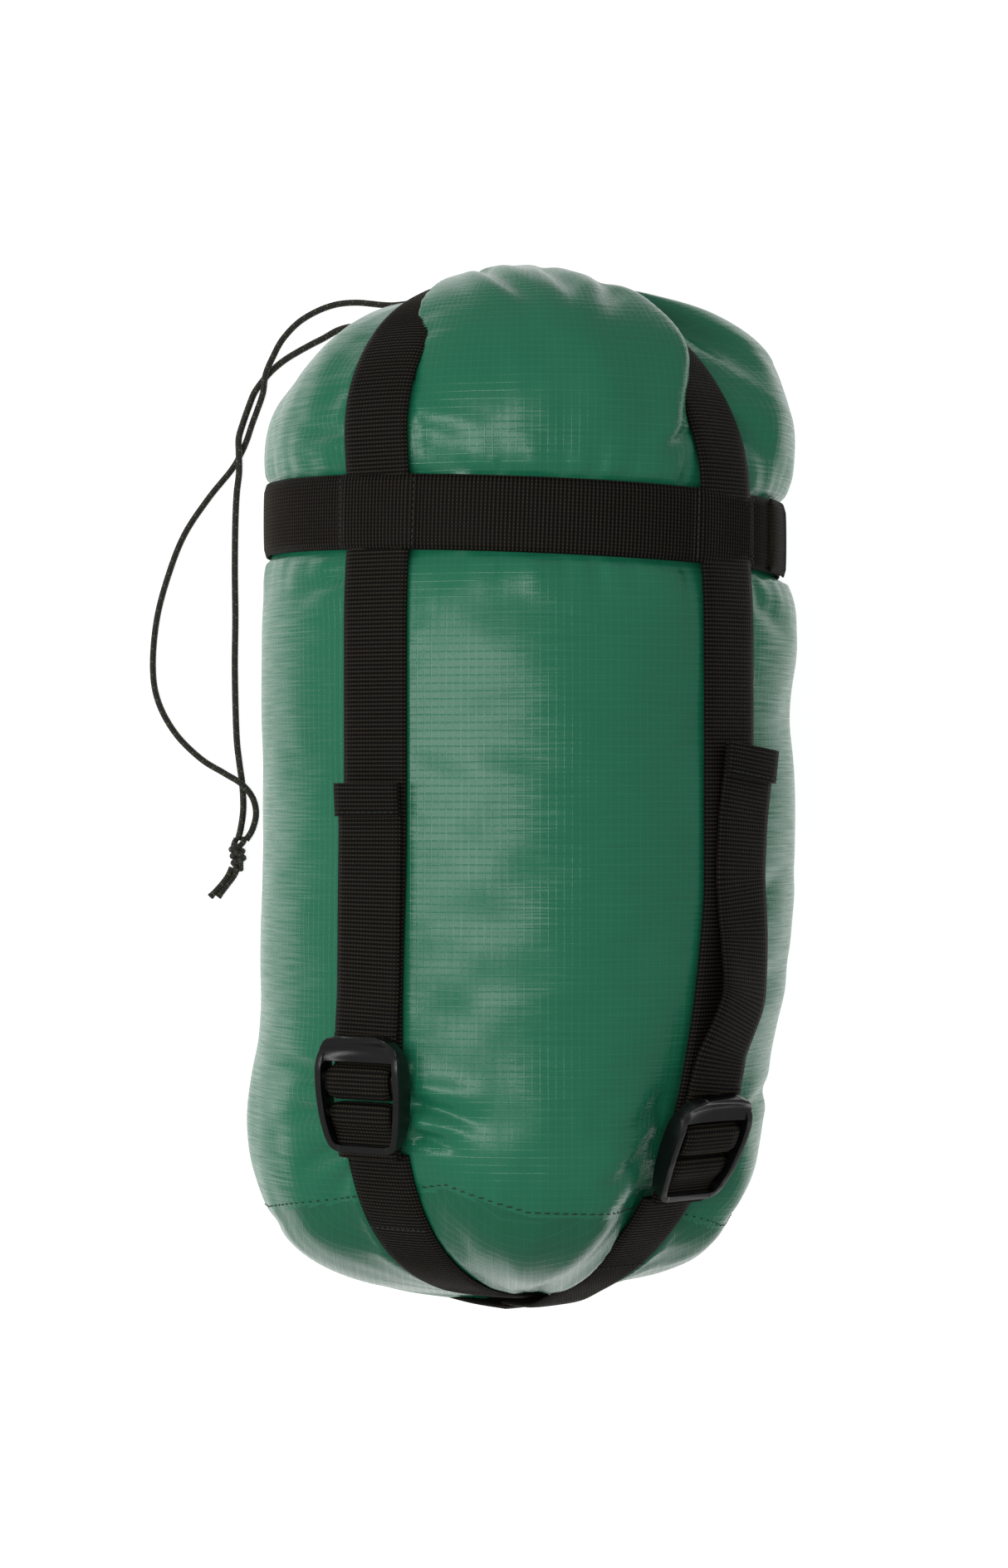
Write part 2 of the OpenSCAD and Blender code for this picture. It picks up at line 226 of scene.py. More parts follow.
def feed(tree, node, sources):
    for socket, source in sources.items():
        tree.links.new(source, node.inputs[socket])


def maths(tree, operation, *terms):
    node = addNode(tree, "ShaderNodeMath", operation=operation)
    for socket, term in zip(node.inputs, terms):
        if isinstance(term, (int, float)):
            socket.default_value = term
        else:
            tree.links.new(term, socket)
    return node.outputs[0]


def times(tree, a, b):
    return maths(tree, "MULTIPLY", a, b)


def timesPlus(tree, a, b, c):
    return maths(tree, "MULTIPLY_ADD", a, b, c)


def mixColour(tree, factor, a, b):
    node = addNode(tree, "ShaderNodeMix", data_type="RGBA")
    for socket, value in ((node.inputs[0], factor), (node.inputs[6], a), (node.inputs[7], b)):
        if isinstance(value, tuple):
            socket.default_value = (*value, 1)
        else:
            tree.links.new(value, socket)
    return node.outputs[2]


def newGroup(name, inputs, outputs):
    group = bpy.data.node_groups.new(name, "ShaderNodeTree")
    for label, value in inputs:
        kind = "NodeSocketVector" if value is None else "NodeSocketFloat"
        socket = group.interface.new_socket(label, in_out="INPUT", socket_type=kind)
        if value is not None:
            socket.default_value = value
    for label, kind in outputs:
        group.interface.new_socket(label, in_out="OUTPUT", socket_type=f"NodeSocket{kind}")
    return group, group.nodes.new("NodeGroupInput"), group.nodes.new("NodeGroupOutput")


def useGroup(tree, group, values):
    node = addNode(tree, "ShaderNodeGroup", node_tree=group)
    for label, value in values.items():
        if hasattr(value, "is_linked"):
            tree.links.new(value, node.inputs[label])
        else:
            node.inputs[label].default_value = value
    return node.outputs


def makeRipstop():  # fine cloth with a heavier thread every few millimetres
    group, into, out = newGroup("ripstopWeave", [("Place", None), ("Grid", 385.0), ("Thread", 2600.0)],
                                [("Grid Mask", "Float"), ("Weave", "Float"), ("Height", "Float")])
    look = dict(sharp=-14.0, centre=1.3, blend=0.1, fineHeight=0.03, gridHeight=0.4)
    split = addNode(group, "ShaderNodeSeparateXYZ", links={0: into.outputs["Place"]})
    lines, fine = [], []
    for axis in (0, 1):
        at = maths(group, "FRACT", times(group, split.outputs[axis], into.outputs["Grid"]))
        off = maths(group, "ABSOLUTE", maths(group, "SUBTRACT", at, 0.5))
        ridge = maths(group, "MAXIMUM", timesPlus(group, off, look["sharp"], look["centre"]), 0.0)
        lines.append(maths(group, "SMOOTH_MIN", 1.0, ridge, look["blend"]))
        fine.append(maths(group, "SINE", times(group, split.outputs[axis], into.outputs["Thread"])))
    mask = maths(group, "MAXIMUM", *lines)
    weave = times(group, *fine)
    height = timesPlus(group, weave, look["fineHeight"], times(group, mask, look["gridHeight"]))
    feed(group, out, {"Grid Mask": mask, "Weave": weave, "Height": height})
    return group


def makeThreadTilt():  # leans each thread's normal a little, so a highlight's edge breaks up in rows
    group, into, out = newGroup("threadTilt", [("Place", None), ("Rows", 0.2), ("Columns", 0.08)],
                                [("Normal", "Vector")])
    streak, across = 45, 1500
    normal = addNode(group, "ShaderNodeNewGeometry").outputs["Normal"]
    along = addNode(group, "ShaderNodeTangent", direction_type="UV_MAP", uv_map="UVMap").outputs[0]
    crossed = addNode(group, "ShaderNodeVectorMath", operation="CROSS_PRODUCT",
                      links={0: normal, 1: along}).outputs[0]
    total = normal
    for label, way, stretch in (("Rows", along, (streak, across, 1)),
                                ("Columns", crossed, (across, streak, 1))):
        scaled = addNode(group, "ShaderNodeVectorMath", operation="MULTIPLY", inputs={1: stretch},
                         links={0: into.outputs["Place"]})
        noise = addNode(group, "ShaderNodeTexNoise", inputs={"Scale": 1.0, "Detail": 2.0, "Roughness": 0.6},
                        links={"Vector": scaled.outputs[0]})
        lean = times(group, maths(group, "SUBTRACT", noise.outputs["Fac"], 0.5), into.outputs[label])
        step = addNode(group, "ShaderNodeVectorMath", operation="SCALE", links={0: way, "Scale": lean})
        total = addNode(group, "ShaderNodeVectorMath", operation="ADD",
                        links={0: total, 1: step.outputs[0]}).outputs[0]
    evened = addNode(group, "ShaderNodeVectorMath", operation="NORMALIZE", links={0: total})
    feed(group, out, {"Normal": evened.outputs[0]})
    return group


def makeVariation():  # slow uneven patches and fine specks, for every finish
    group, into, out = newGroup("softVariation", [("Size", 40.0), ("Speck Size", 1500.0)],
                                [("Patches", "Float"), ("Specks", "Float")])
    place = addNode(group, "ShaderNodeTexCoord")
    for label, size, detail in (("Patches", "Size", 3.0), ("Specks", "Speck Size", 2.0)):
        noise = addNode(group, "ShaderNodeTexNoise", inputs={"Detail": detail},
                        links={"Vector": place.outputs["Object"], "Scale": into.outputs[size]})
        feed(group, out, {label: noise.outputs["Fac"]})
    return group


def makeEdgeWear():  # 1 along worn outer edges
    group, into, out = newGroup("edgeWear", [("Amount", 6.0)], [("Wear", "Float")])
    shape = addNode(group, "ShaderNodeNewGeometry")
    worn = times(group, maths(group, "SUBTRACT", shape.outputs["Pointiness"], 0.52), into.outputs["Amount"])
    feed(group, out, {"Wear": maths(group, "MINIMUM", maths(group, "MAXIMUM", worn, 0.0), 1.0)})
    return group


ripstop, threadTilt, variation, edgeWear = makeRipstop(), makeThreadTilt(), makeVariation(), makeEdgeWear()


def unevenness(tree, size, speckSize):
    outputs = useGroup(tree, variation, {"Size": size, "Speck Size": speckSize})
    return outputs["Patches"], outputs["Specks"]


def uvParts(tree):
    uv = addNode(tree, "ShaderNodeUVMap", uv_map="UVMap")
    return addNode(tree, "ShaderNodeSeparateXYZ", links={0: uv.outputs["UV"]}).outputs


def finishShader(tree, shader, colour, rough, height, strength, distance, normal=None):
    raised = addNode(tree, "ShaderNodeBump", inputs={"Strength": strength, "Distance": distance},
                     links={"Height": height})
    if normal:
        feed(tree, raised, {"Normal": normal})
    feed(tree, shader, {"Base Color": colour, "Roughness": rough, "Normal": raised.outputs["Normal"]})


def clothMaterial(name, look):
    material, tree, shader = newMaterial(name)
    uv = addNode(tree, "ShaderNodeUVMap", uv_map="UVMap").outputs["UV"]
    weave = useGroup(tree, ripstop, {"Place": uv, "Grid": look["grid"], "Thread": look["thread"]})
    patches, specks = unevenness(tree, look["patch"], 1800.0)
    base = mixColour(tree, patches, look["deep"], look["pale"])
    # grid lines mixed toward a paler thread colour: partly the ripstop's real heavier threads, partly painted
    # highlight for the glints along the grid
    lit = mixColour(tree, times(tree, weave["Grid Mask"], look["gridTintAndGlint"]), base, look["gridThreadsAndGlint"])
    lit = mixColour(tree, times(tree, specks, look["speckTint"]), lit, look["pale"])
    gloss = timesPlus(tree, weave["Grid Mask"], -0.06, look["roughness"])
    gloss = timesPlus(tree, patches, 0.06, gloss)
    place = addNode(tree, "ShaderNodeTexCoord")
    crinkle = addNode(tree, "ShaderNodeTexNoise", inputs={"Scale": 260.0, "Detail": 4.0, "Roughness": 0.6},
                      links={"Vector": place.outputs["Object"]})
    height = timesPlus(tree, crinkle.outputs["Fac"], look["crinkle"], weave["Height"])
    lean = useGroup(tree, threadTilt, {"Place": uv, "Rows": look["rows"], "Columns": look["columns"]})
    finishShader(tree, shader, lit, gloss, height, look["bump"], 0.00022, lean["Normal"])
    shader.inputs["Specular IOR Level"].default_value = look["shine"]
    return material


def webbingMaterial():
    # dark is painted shade for the grooves between the ribs, pale the colour of the rib crests
    look = dict(dark=(0.0015, 0.0014, 0.001), pale=(0.085, 0.072, 0.048), columns=5200.0, ribs=4620.0,
                grooveShadePower=2.3, shine=0.12)
    material, tree, shader = newMaterial("ribbedWebbing")
    uv = uvParts(tree)
    columns = timesPlus(tree, maths(tree, "SINE", times(tree, uv[0], look["columns"])), 0.5, 0.5)
    ribs = timesPlus(tree, maths(tree, "COSINE", times(tree, uv[1], look["ribs"])), 0.5, 0.5)
    yarn = times(tree, columns, ribs)
    patches, specks = unevenness(tree, 70.0, 2400.0)
    # painted shade: the grooves between ribs and columns are coloured dark and raised to a power for contrast,
    # standing in for the shade the ribs cast
    weave = maths(tree, "POWER", timesPlus(tree, ribs, 0.55, times(tree, yarn, 0.45)), look["grooveShadePower"])
    ribShadeAndSpecks = times(tree, weave, timesPlus(tree, specks, 0.9, 0.2))
    finishShader(tree, shader, mixColour(tree, ribShadeAndSpecks, look["dark"], look["pale"]),
                 timesPlus(tree, patches, 0.2, 0.55), timesPlus(tree, specks, 0.5, yarn), 0.6, 0.0003)
    shader.inputs["Specular IOR Level"].default_value = look["shine"]
    return material


def plasticMaterial():
    look = dict(body=(0.003, 0.003, 0.0035), worn=(0.05, 0.048, 0.045), wear=9.0, shine=0.45)
    material, tree, shader = newMaterial("mouldedLock")
    patches, specks = unevenness(tree, 120.0, 2600.0)
    worn = times(tree, useGroup(tree, edgeWear, {"Amount": look["wear"]})["Wear"], patches)
    rough = timesPlus(tree, worn, 0.2, timesPlus(tree, patches, 0.14, 0.17))
    finishShader(tree, shader, mixColour(tree, worn, look["body"], look["worn"]), rough, specks, 0.12, 0.0002)
    shader.inputs["Specular IOR Level"].default_value = look["shine"]
    return material


def cordMaterial():
    look = dict(dark=(0.013, 0.012, 0.009), fleck=(0.24, 0.20, 0.10), pale=(0.055, 0.052, 0.040), braid=2600.0)
    material, tree, shader = newMaterial("braidedCord")
    around, along, _ = uvParts(tree)
    round4 = times(tree, around, 25.13)
    crossing = [maths(tree, "SINE", timesPlus(tree, along, way * look["braid"], round4)) for way in (1, -1)]
    strands = timesPlus(tree, times(tree, *crossing), 0.5, 0.5)
    band = maths(tree, "SINE", timesPlus(tree, along, look["braid"] / 2, times(tree, around, 6.283)))
    flecks = maths(tree, "GREATER_THAN", times(tree, band, strands), 0.55)
    patches, specks = unevenness(tree, 300.0, 3000.0)
    base = mixColour(tree, times(tree, strands, specks), look["dark"], look["pale"])
    tint = mixColour(tree, times(tree, flecks, patches), base, look["fleck"])
    finishShader(tree, shader, tint, timesPlus(tree, specks, 0.2, 0.6),
                 timesPlus(tree, specks, 0.4, strands), 0.8, 0.0003)
    return material


def plainMaterial(name, low, high, rough, metal=0.0, size=400.0):
    material, tree, shader = newMaterial(name)
    patches, specks = unevenness(tree, size, 2200.0)
    finishShader(tree, shader, mixColour(tree, patches, low, high), timesPlus(tree, specks, 0.2, rough),
                 specks, 0.4, 0.0003)
    shader.inputs["Metallic"].default_value = metal
    return material


# the paler grid-thread colour and its tint are partly the threads' own colour and partly painted highlight
bodyGreen = dict(grid=385.0, thread=wholeTurn / 0.00055, patch=22.0, deep=(0.011, 0.172, 0.083),
                 pale=(0.018, 0.215, 0.112), gridThreadsAndGlint=(0.045, 0.27, 0.16), gridTintAndGlint=0.30, speckTint=0.16,
                 roughness=0.25, crinkle=0.45, bump=0.4, rows=0.55, columns=0.12, shine=0.42)
# painted shade: the bottom panel and the mouth hem get a darker copy of the body's green, for the shade at the
# base end and in the gathered mouth
shadedBaseGreen = dict(bodyGreen, deep=(0.008, 0.130, 0.062), pale=(0.014, 0.165, 0.084), gridTintAndGlint=0.18)
clothFinish, shadedBaseFinish = clothMaterial("ripstopCloth", bodyGreen), clothMaterial("ripstopBaseShaded", shadedBaseGreen)
webbingFinish, plasticFinish, cordFinish = webbingMaterial(), plasticMaterial(), cordMaterial()
threadFinish = plainMaterial("sewingThread", (0.010, 0.016, 0.013), (0.030, 0.040, 0.032), 0.6)
packingFinish = plainMaterial("packedClothes", (0.35, 0.35, 0.33), (0.55, 0.54, 0.50), 0.7, size=60.0)
steelFinish = plainMaterial("springWire", (0.45, 0.45, 0.46), (0.62, 0.62, 0.63), 0.25, metal=1.0)
print("materials ready")

view = dict(aside=-8 * mm, height=1.4, lens=85.4, sensor=36)
camera = addObject("camera", bpy.data.cameras.new("camera"))
camera.location = (view["aside"], 0, view["height"])
camera.rotation_euler = (0, 0, 0)
camera.data.lens, camera.data.sensor_width = view["lens"], view["sensor"]
bpy.context.scene.camera = camera

# the drawcord's two strands, from inside the hem, round on the floor and into the knot, in millimetres
low, hump = 1.3, 3.9
dropX, dropY, pair = -3, 176, 1.35
upperRoute = [
    (dropX, dropY + pair, 37), (dropX, dropY + pair, 8), (dropX - 1, 177.5, 4),
    (dropX - 4.5, 178, 1.8), (dropX - 10, 179, low), (-24, 181, low), (-36, 181.7, low), (-50, 180, low),
    (-64, 181, low), (-74, 179.5, low), (-84, 174.5, low), (-91, 167.5, low), (-95, 160, 2.6),
    (-97.5, 153.5, hump), (-98.5, 147, 2.6), (-100.6, 141, low), (-102.8, 135, low), (-104.6, 129.5, low),
    (-107, 124, low), (-110.5, 118, low), (-119, 107.5, low), (-128, 94, low), (-134, 79, low),
    (-138.5, 62, low), (-140, 44, low), (-138, 31, low), (-131.5, 19, low), (-122, 9.5, low),
    (-113, 4, 2.6), (-106.5, 0, hump), (-102.5, -5, 2.6), (-101.2, -11, low), (-102.5, -17, 1.8),
    (-104.8, -21, 2.6)]
lowerRoute = [
    (dropX, dropY - pair, 37), (dropX, dropY - pair, 8), (dropX - 1, 174, 4),
    (dropX - 4.5, 173.5, 1.8), (dropX - 10, 173, low), (-24, 171.8, low), (-40, 171.5, low), (-65, 172, low),
    (-77, 167, low), (-88, 161, low), (-93.5, 157, low), (-97.5, 153, low), (-101.6, 147.5, low),
    (-103.9, 142, low), (-106, 136, low), (-107.6, 130, 2.6), (-107.5, 124, hump), (-107.5, 117, 2.6),
    (-108.5, 109, low), (-109, 98, low), (-109.2, 80, low), (-109, 62, low), (-109.2, 43, low),
    (-108.6, 19, low), (-107.5, 8, low), (-106.4, 0, low), (-106, -9, low), (-106.8, -16, 1.8),
    (-107.9, -21, 2.6)]
cord = dict(diameter=2.4 * mm, upperLength=0.344, lowerLength=0.311, step=0.45 * mm, sides=14, braid=2600)


def sweep(name, path, radius, material, sides=14, knit=0.0, taper=None):
    n, w = len(path), sides + 1
    way = np.gradient(path, axis=0)
    way = unit(way)
    out = np.cross(way[0], (0.3, 0.5, 0.8))
    run = runAlong(path)
    points, uv = [], []
    out /= np.linalg.norm(out)
    for i in range(n):
        out = out - way[i] * (out @ way[i])
        out /= np.linalg.norm(out)
        across = np.cross(way[i], out)
        size = radius * (1 if taper is None else taper[i])
        for k in range(w):
            a = wholeTurn * k / sides
            plait = knit * math.sin(cord["braid"] * run[i] + 4 * a) * math.sin(-cord["braid"] * run[i] + 4 * a)
            points.append(path[i] + size * (1 + plait) * (math.cos(a) * out + math.sin(a) * across))
            uv.append((k / sides, run[i]))
    faces = [(i * w + k, (i + 1) * w + k, (i + 1) * w + k + 1, i * w + k + 1)
             for i in range(n - 1) for k in range(sides)]
    faces += [tuple(range(sides, -1, -1)), tuple((n - 1) * w + k for k in range(w))]
    return faceOutwards(meshPiece(name, points, faces, material, uv), merge=1e-7)


def makeStrand(name, route, node):
    path, _ = resample(softCurve(np.array(route) * mm), cord["step"])
    piece = sweep(name, path, cord["diameter"] / 2, cordFinish, cord["sides"], knit=0.07)
    return fit(piece, "cord", "root", node), path


upperStrand, upperPath = makeStrand("upperStrand", upperRoute, "drawcord_upper_strand")
lowerStrand, lowerPath = makeStrand("lowerStrand", lowerRoute, "drawcord_lower_strand")


def makeKnot():  # both strands wound round themselves and drawn tight
    knot = dict(at=(-108, -26.3, 3.5), turns=2.6, pitch=2.5, radius=2.05, lean=8, step=0.35 * mm)
    spin = np.linspace(0, knot["turns"] * wholeTurn, 130)
    coil = np.stack([knot["radius"] * np.cos(spin), (spin / wholeTurn - knot["turns"] / 2) * -knot["pitch"],
                     knot["radius"] * np.sin(spin) * 0.92], axis=1)
    start = np.array([[3.2, 5.4, -0.9], [2.8, 4.2, 0.3]])
    end = np.array([[-1.2, -4.6, 0.4], [-1.9, -6.2, -1.0]])
    second = np.array([[0.1, 5.5, -0.9], [-0.9, 3.4, 0.8], [-0.2, 1.4, 1.9], [0.9, -1.2, 1.7],
                       [0.6, -3.8, 0.2], [0.2, -6.2, -1.0]])
    tilt = Matrix.Rotation(math.radians(knot["lean"]), 3, "Z")
    centre = np.array(knot["at"])
    parts = []
    for i, local in enumerate((np.vstack([start, coil[6:-6], end]), second)):
        line = np.array([tuple(tilt @ Vector(p)) for p in softCurve(local, 4)]) + centre
        path, _ = resample(line * mm, knot["step"])
        parts.append(sweep(f"knot{i}", path, 1.12 * mm, cordFinish, 12, knit=0.07))
    for i, aside in enumerate((-1.15, 1.15)):
        route = [(-109.2 + aside, -31.5, 2.4), (-110.6 + aside, -34.5, 1.7), (-113.2 + aside, -38, 1.4),
                 (-117 + aside * 1.3, -42.5, 1.4 + 0.15 * i)]
        path, _ = resample(softCurve(route) * mm, knot["step"])
        taper = 1 + 0.16 * smooth((np.linspace(0, 1, len(path)) - 0.86) / 0.1)
        parts.append(sweep(f"end{i}", path, 1.15 * mm, cordFinish, 12, knit=0.09, taper=taper))
    return fit(joinPieces("drawcordKnot", parts), "cord", "root", "drawcord_knot")


knotPiece = makeKnot()
print("cords ready", len(upperPath), len(lowerPath))


sack = dict(radius=92.5 * mm, axis=88 * mm, seam=-147 * mm,
            mouth=(120 * mm, 177.3 * mm, 2.4), base=(95 * mm, 177.3 * mm, 2.8))
band = dict(y=88.5 * mm, tilt=-2.2, width=25 * mm, thick=1.4 * mm, squeeze=2.2 * mm,
            sewnEnd=66, overlap=0.34, dip=2.9 * mm, dipTurn=84)
webbing = dict(width=25 * mm, thick=1.5 * mm, pitch=1.36 * mm, rib=0.40 * mm)
straps = {
    "left": dict(turn=-34, mouth=(115 * mm, 175.6 * mm, 2.1), base=(90 * mm, 177.5 * mm, 2.4), flat=0,
                 lockY=-102.5 * mm, tail=84 * mm, aside=1.5 * mm, steep=(26 * mm, 24 * mm)),
    "right": dict(turn=42.5, mouth=(95 * mm, 177.4 * mm, 1.75), base=(70 * mm, 181.0 * mm, 1.9),
                  backBase=(104 * mm, 182.6 * mm, 2.9), flat=15.6 * mm, lockY=-120.5 * mm, tail=116 * mm,
                  aside=6.5 * mm, steep=(13 * mm, 26 * mm)),
}


def quarter(radius, end, flat=0.0, steps=90):
    a = np.linspace(0, math.pi / 2, steps)
    r = radius * np.cos(a) ** (2 / end[2])
    y = end[0] + (end[1] - end[0]) * np.sin(a) ** (2 / end[2])
    r[-1] = 0
    if flat:
        keep = r > flat + 10 * mm
        r, y = np.append(r[keep], [flat, 0]), np.append(y[keep], [end[1], end[1]])
    return np.stack([r, y], axis=1)


def halfOutline(radius, item, flat=0.0):  # base pole round to mouth pole
    base = quarter(radius, item["base"], flat)[::-1] * (1, -1)
    return np.vstack([base, quarter(radius, item["mouth"], flat)])


def outlineNormals(line):
    way = np.gradient(line, axis=0)
    return unit(np.stack([way[:, 1], -way[:, 0]], axis=1))


def bandDip(theta):  # the band's sewn end draws the right flank in
    return band["dip"] * bump(angleFrom(theta, math.radians(band["dipTurn"])), 0.5)


def bandLine(theta):  # the band's middle at an angle round the sack
    return band["y"] + sack["radius"] * math.tan(math.radians(band["tilt"])) * np.sin(theta)


def strapLine(side, behind=False):  # half outline of the strap's inner face, pulled in under the band
    item = dict(straps[side])
    if behind:
        item["base"] = item.get("backBase", item["base"])
    line, _ = resample(halfOutline(sack["radius"] + 0.2 * mm, item, item["flat"]), 1.0 * mm)
    at = bandLine(math.radians(item["turn"]))
    line[:, 0] -= band["squeeze"] * bump(line[:, 1] - at, 19 * mm) * (line[:, 0] > 50 * mm)
    return soften(line, 3)


def asideShift(side, y):  # how far the front of a strap wanders from its plane
    item = straps[side]
    return item["aside"] * smooth((y - item["lockY"] - 22 * mm) / (70 * mm)) * (
        1 - smooth((y - 142 * mm) / (34 * mm)))


strapLines = {side: strapLine(side) for side in straps}
backLines = {side: strapLine(side, behind=True) for side in straps}


def seamY(theta):  # the bottom seam rides up beside the straps
    knots = np.radians([-180, -75, -46, -18, 0, 25, 50, 72, 100, 180])
    rise = np.array([0, -1, 6, 13, 4.5, 2.5, 1, -8, -4, 0]) * mm
    return sack["seam"] + np.interp(angleFrom(theta, 0), knots, rise)


def roundAxis(co):  # distance from the sack's axis, and the angle round it
    x, z = co[:, 0], co[:, 2] - sack["axis"]
    return np.hypot(x, z), np.arctan2(x, z)


def besideStrap(side, rho, theta, y):  # True on the strap's front half, and how far to the side of it
    away = theta - math.radians(straps[side]["turn"])
    front = np.cos(away) > 0
    return front, rho * np.sin(away) - np.where(front, asideShift(side, y), 0)


def clothShape(theta, r0, y0, nr, ny):
    pull = np.zeros_like(theta)
    ends = smooth((np.abs(y0) - 80 * mm) / (45 * mm))
    for side, item in straps.items():
        front, lateral = besideStrap(side, r0, theta, y0)
        lineR, backR = (np.interp(y0, line[:, 1], line[:, 0]) for line in (strapLines[side], backLines[side]))
        lineR = np.where(front, lineR, backR)
        lateral = np.where(front, lateral, -lateral)
        depth = np.maximum(r0 - lineR + 0.5 * mm, 0) * np.clip(nr, 0.12, 1)
        away = np.maximum(np.abs(lateral) - 13 * mm, 0)
        reach = np.where(lateral < 0, item["steep"][0], item["steep"][1])
        reach = np.where(y0 < 0, 27 * mm, reach)
        hold = 0.5 + 0.5 * np.cos(math.pi * np.clip(away / reach, 0, 1))
        pull = np.maximum(pull, depth * hold)
    across = y0 - bandLine(theta)
    squeeze = (band["squeeze"] + 0.7 * mm + bandDip(theta)) * np.exp(-(across / (15 * mm)) ** 4) * 0.9
    squeeze += 0.8 * mm * bump(across, 30 * mm)
    tucks = wavy(theta * 26, wavyTable(163, 5)) * 0.5 * mm * bump(np.abs(across) - 19 * mm, 8 * mm)
    out = -pull - squeeze + tucks
    for spot in lobes:
        d = angleFrom(theta, math.radians(spot["turn"]))
        out += spot["out"] * mm * np.exp(-(d / math.radians(spot["wide"])) ** 2
                                         - ((y0 - spot["y"] * mm) / (spot["long"] * mm)) ** 2)
    gather = wavy(theta * 42, wavyTable(263, 3)) + 0.5 * wavy(theta * 74, wavyTable(463, 4))
    seamAway = y0 - seamY(theta)
    out += gather * 0.55 * mm * bump(seamAway, 9 * mm) * smooth(np.abs(seamAway) / (1.5 * mm))
    out -= 1.0 * mm * bump(seamAway, 2.6 * mm)
    out += wavyField(theta * 7, y0 / (26 * mm), 21) * 0.45 * mm * (0.6 + ends)
    out += wavyField(theta * 17, y0 / (11 * mm), 22) * 0.22 * mm * (0.3 + ends)
    return out


def creases(x, y, z):
    out, top = np.zeros(len(x)), smooth((z - 82 * mm) / (10 * mm))
    for fold in folds:
        start, end = np.array(fold["from"]) * mm, np.array(fold["to"]) * mm
        way = end - start
        t = ((x - start[0]) * way[0] + (y - start[1]) * way[1]) / (way @ way)
        bow = fold.get("bow", 0) * mm * np.sin(math.pi * np.clip(t, 0, 1))
        side = ((x - start[0]) * -way[1] + (y - start[1]) * way[0]) / np.linalg.norm(way) - bow
        fade = smooth((t + 0.12) / 0.25) * (1 - smooth((t - 0.35) / 0.75)) * top
        w = fold["wide"] * mm * (1 + 0.5 * np.clip(t, 0, 1))
        out += fold["deep"] * mm * fade * (-bump(side, w) + 0.45 * bump(side - 2.1 * w, 1.5 * w)
                                           + 0.3 * bump(side + 2.1 * w, 1.5 * w))
    return out


def puckers(side, table, rho, theta, y):  # small rucks along a strap's edges
    ends = smooth((np.abs(y) - 85 * mm) / (40 * mm))
    front, lateral = besideStrap(side, rho, theta, y)
    away = np.maximum(np.abs(lateral) - 13 * mm, 0)
    slant = y + 0.35 * away * np.sign(wavy(y / (31 * mm) + 5, table))
    ruck = wavy(slant / (7.0 * mm) + np.where(lateral > 0, 31, 0) + np.where(front, 0, 97), table)
    ruck = np.sign(ruck) * np.abs(ruck) ** 1.5
    fine = wavy(slant / (3.6 * mm) + np.where(lateral > 0, 17, 0), table[::-1])
    reach = (5 + 9 * np.abs(wavy(y / (17 * mm) + 40, table))) * mm
    near = np.exp(-away / reach) * smooth(away / (2.5 * mm))
    return near * (ruck * 0.85 + fine * 0.22) * mm * (0.30 + 0.9 * ends)


def bandTucks(theta, y):
    across = np.abs(y - bandLine(theta)) - 13 * mm
    tuck = wavy(theta * 31, wavyTable(163, 5))
    return np.abs(tuck) ** 1.6 * np.sign(tuck) * 1.1 * mm * np.exp(
        -np.maximum(across, 0) / (6 * mm)) * smooth(across / (2 * mm))


def fanPleats(x, y, z, rho, theta):  # pleats spreading from where the crown is gathered
    dx, dz, dy = x - fan["at"][0] * mm, z - fan["at"][2] * mm, fan["at"][1] * mm - y
    flatRun = np.hypot(dx, dz)
    turn = np.arctan2(dy, flatRun)
    reach = np.hypot(flatRun, dy)
    wave = np.sin(turn * fan["count"] + 1.5 * wavy(turn * 4 + 10, wavyTable(41, fan["seed"])))
    sharp = np.sign(wave) * np.abs(wave) ** 0.7
    side = np.sin(theta - math.radians(fan["edge"]))
    return fan["deep"] * mm * sharp * np.exp(-(reach / (fan["reach"] * mm)) ** 2) * smooth(
        reach / (9 * mm)) * smooth(side * rho / (6 * mm) - 2.2) * smooth((z - fan["low"] * mm) / (8 * mm))


def fineFolds(piece):  # creases, puckers and pleats, on the finished cloth
    co = meshPoints(piece)
    normals = np.empty(len(piece.data.vertices) * 3)
    piece.data.vertices.foreach_get("normal", normals)
    x, y, z = co.T
    rho, theta = roundAxis(co)
    out = creases(x, y, z)
    for seed, side in enumerate(straps, 11):
        out += puckers(side, wavyTable(257, seed), rho, theta, y)
    out += bandTucks(theta, y)
    out += fanPleats(x, y, z, rho, theta)
    setPoints(piece, co + normals.reshape(-1, 3) * out[:, None])


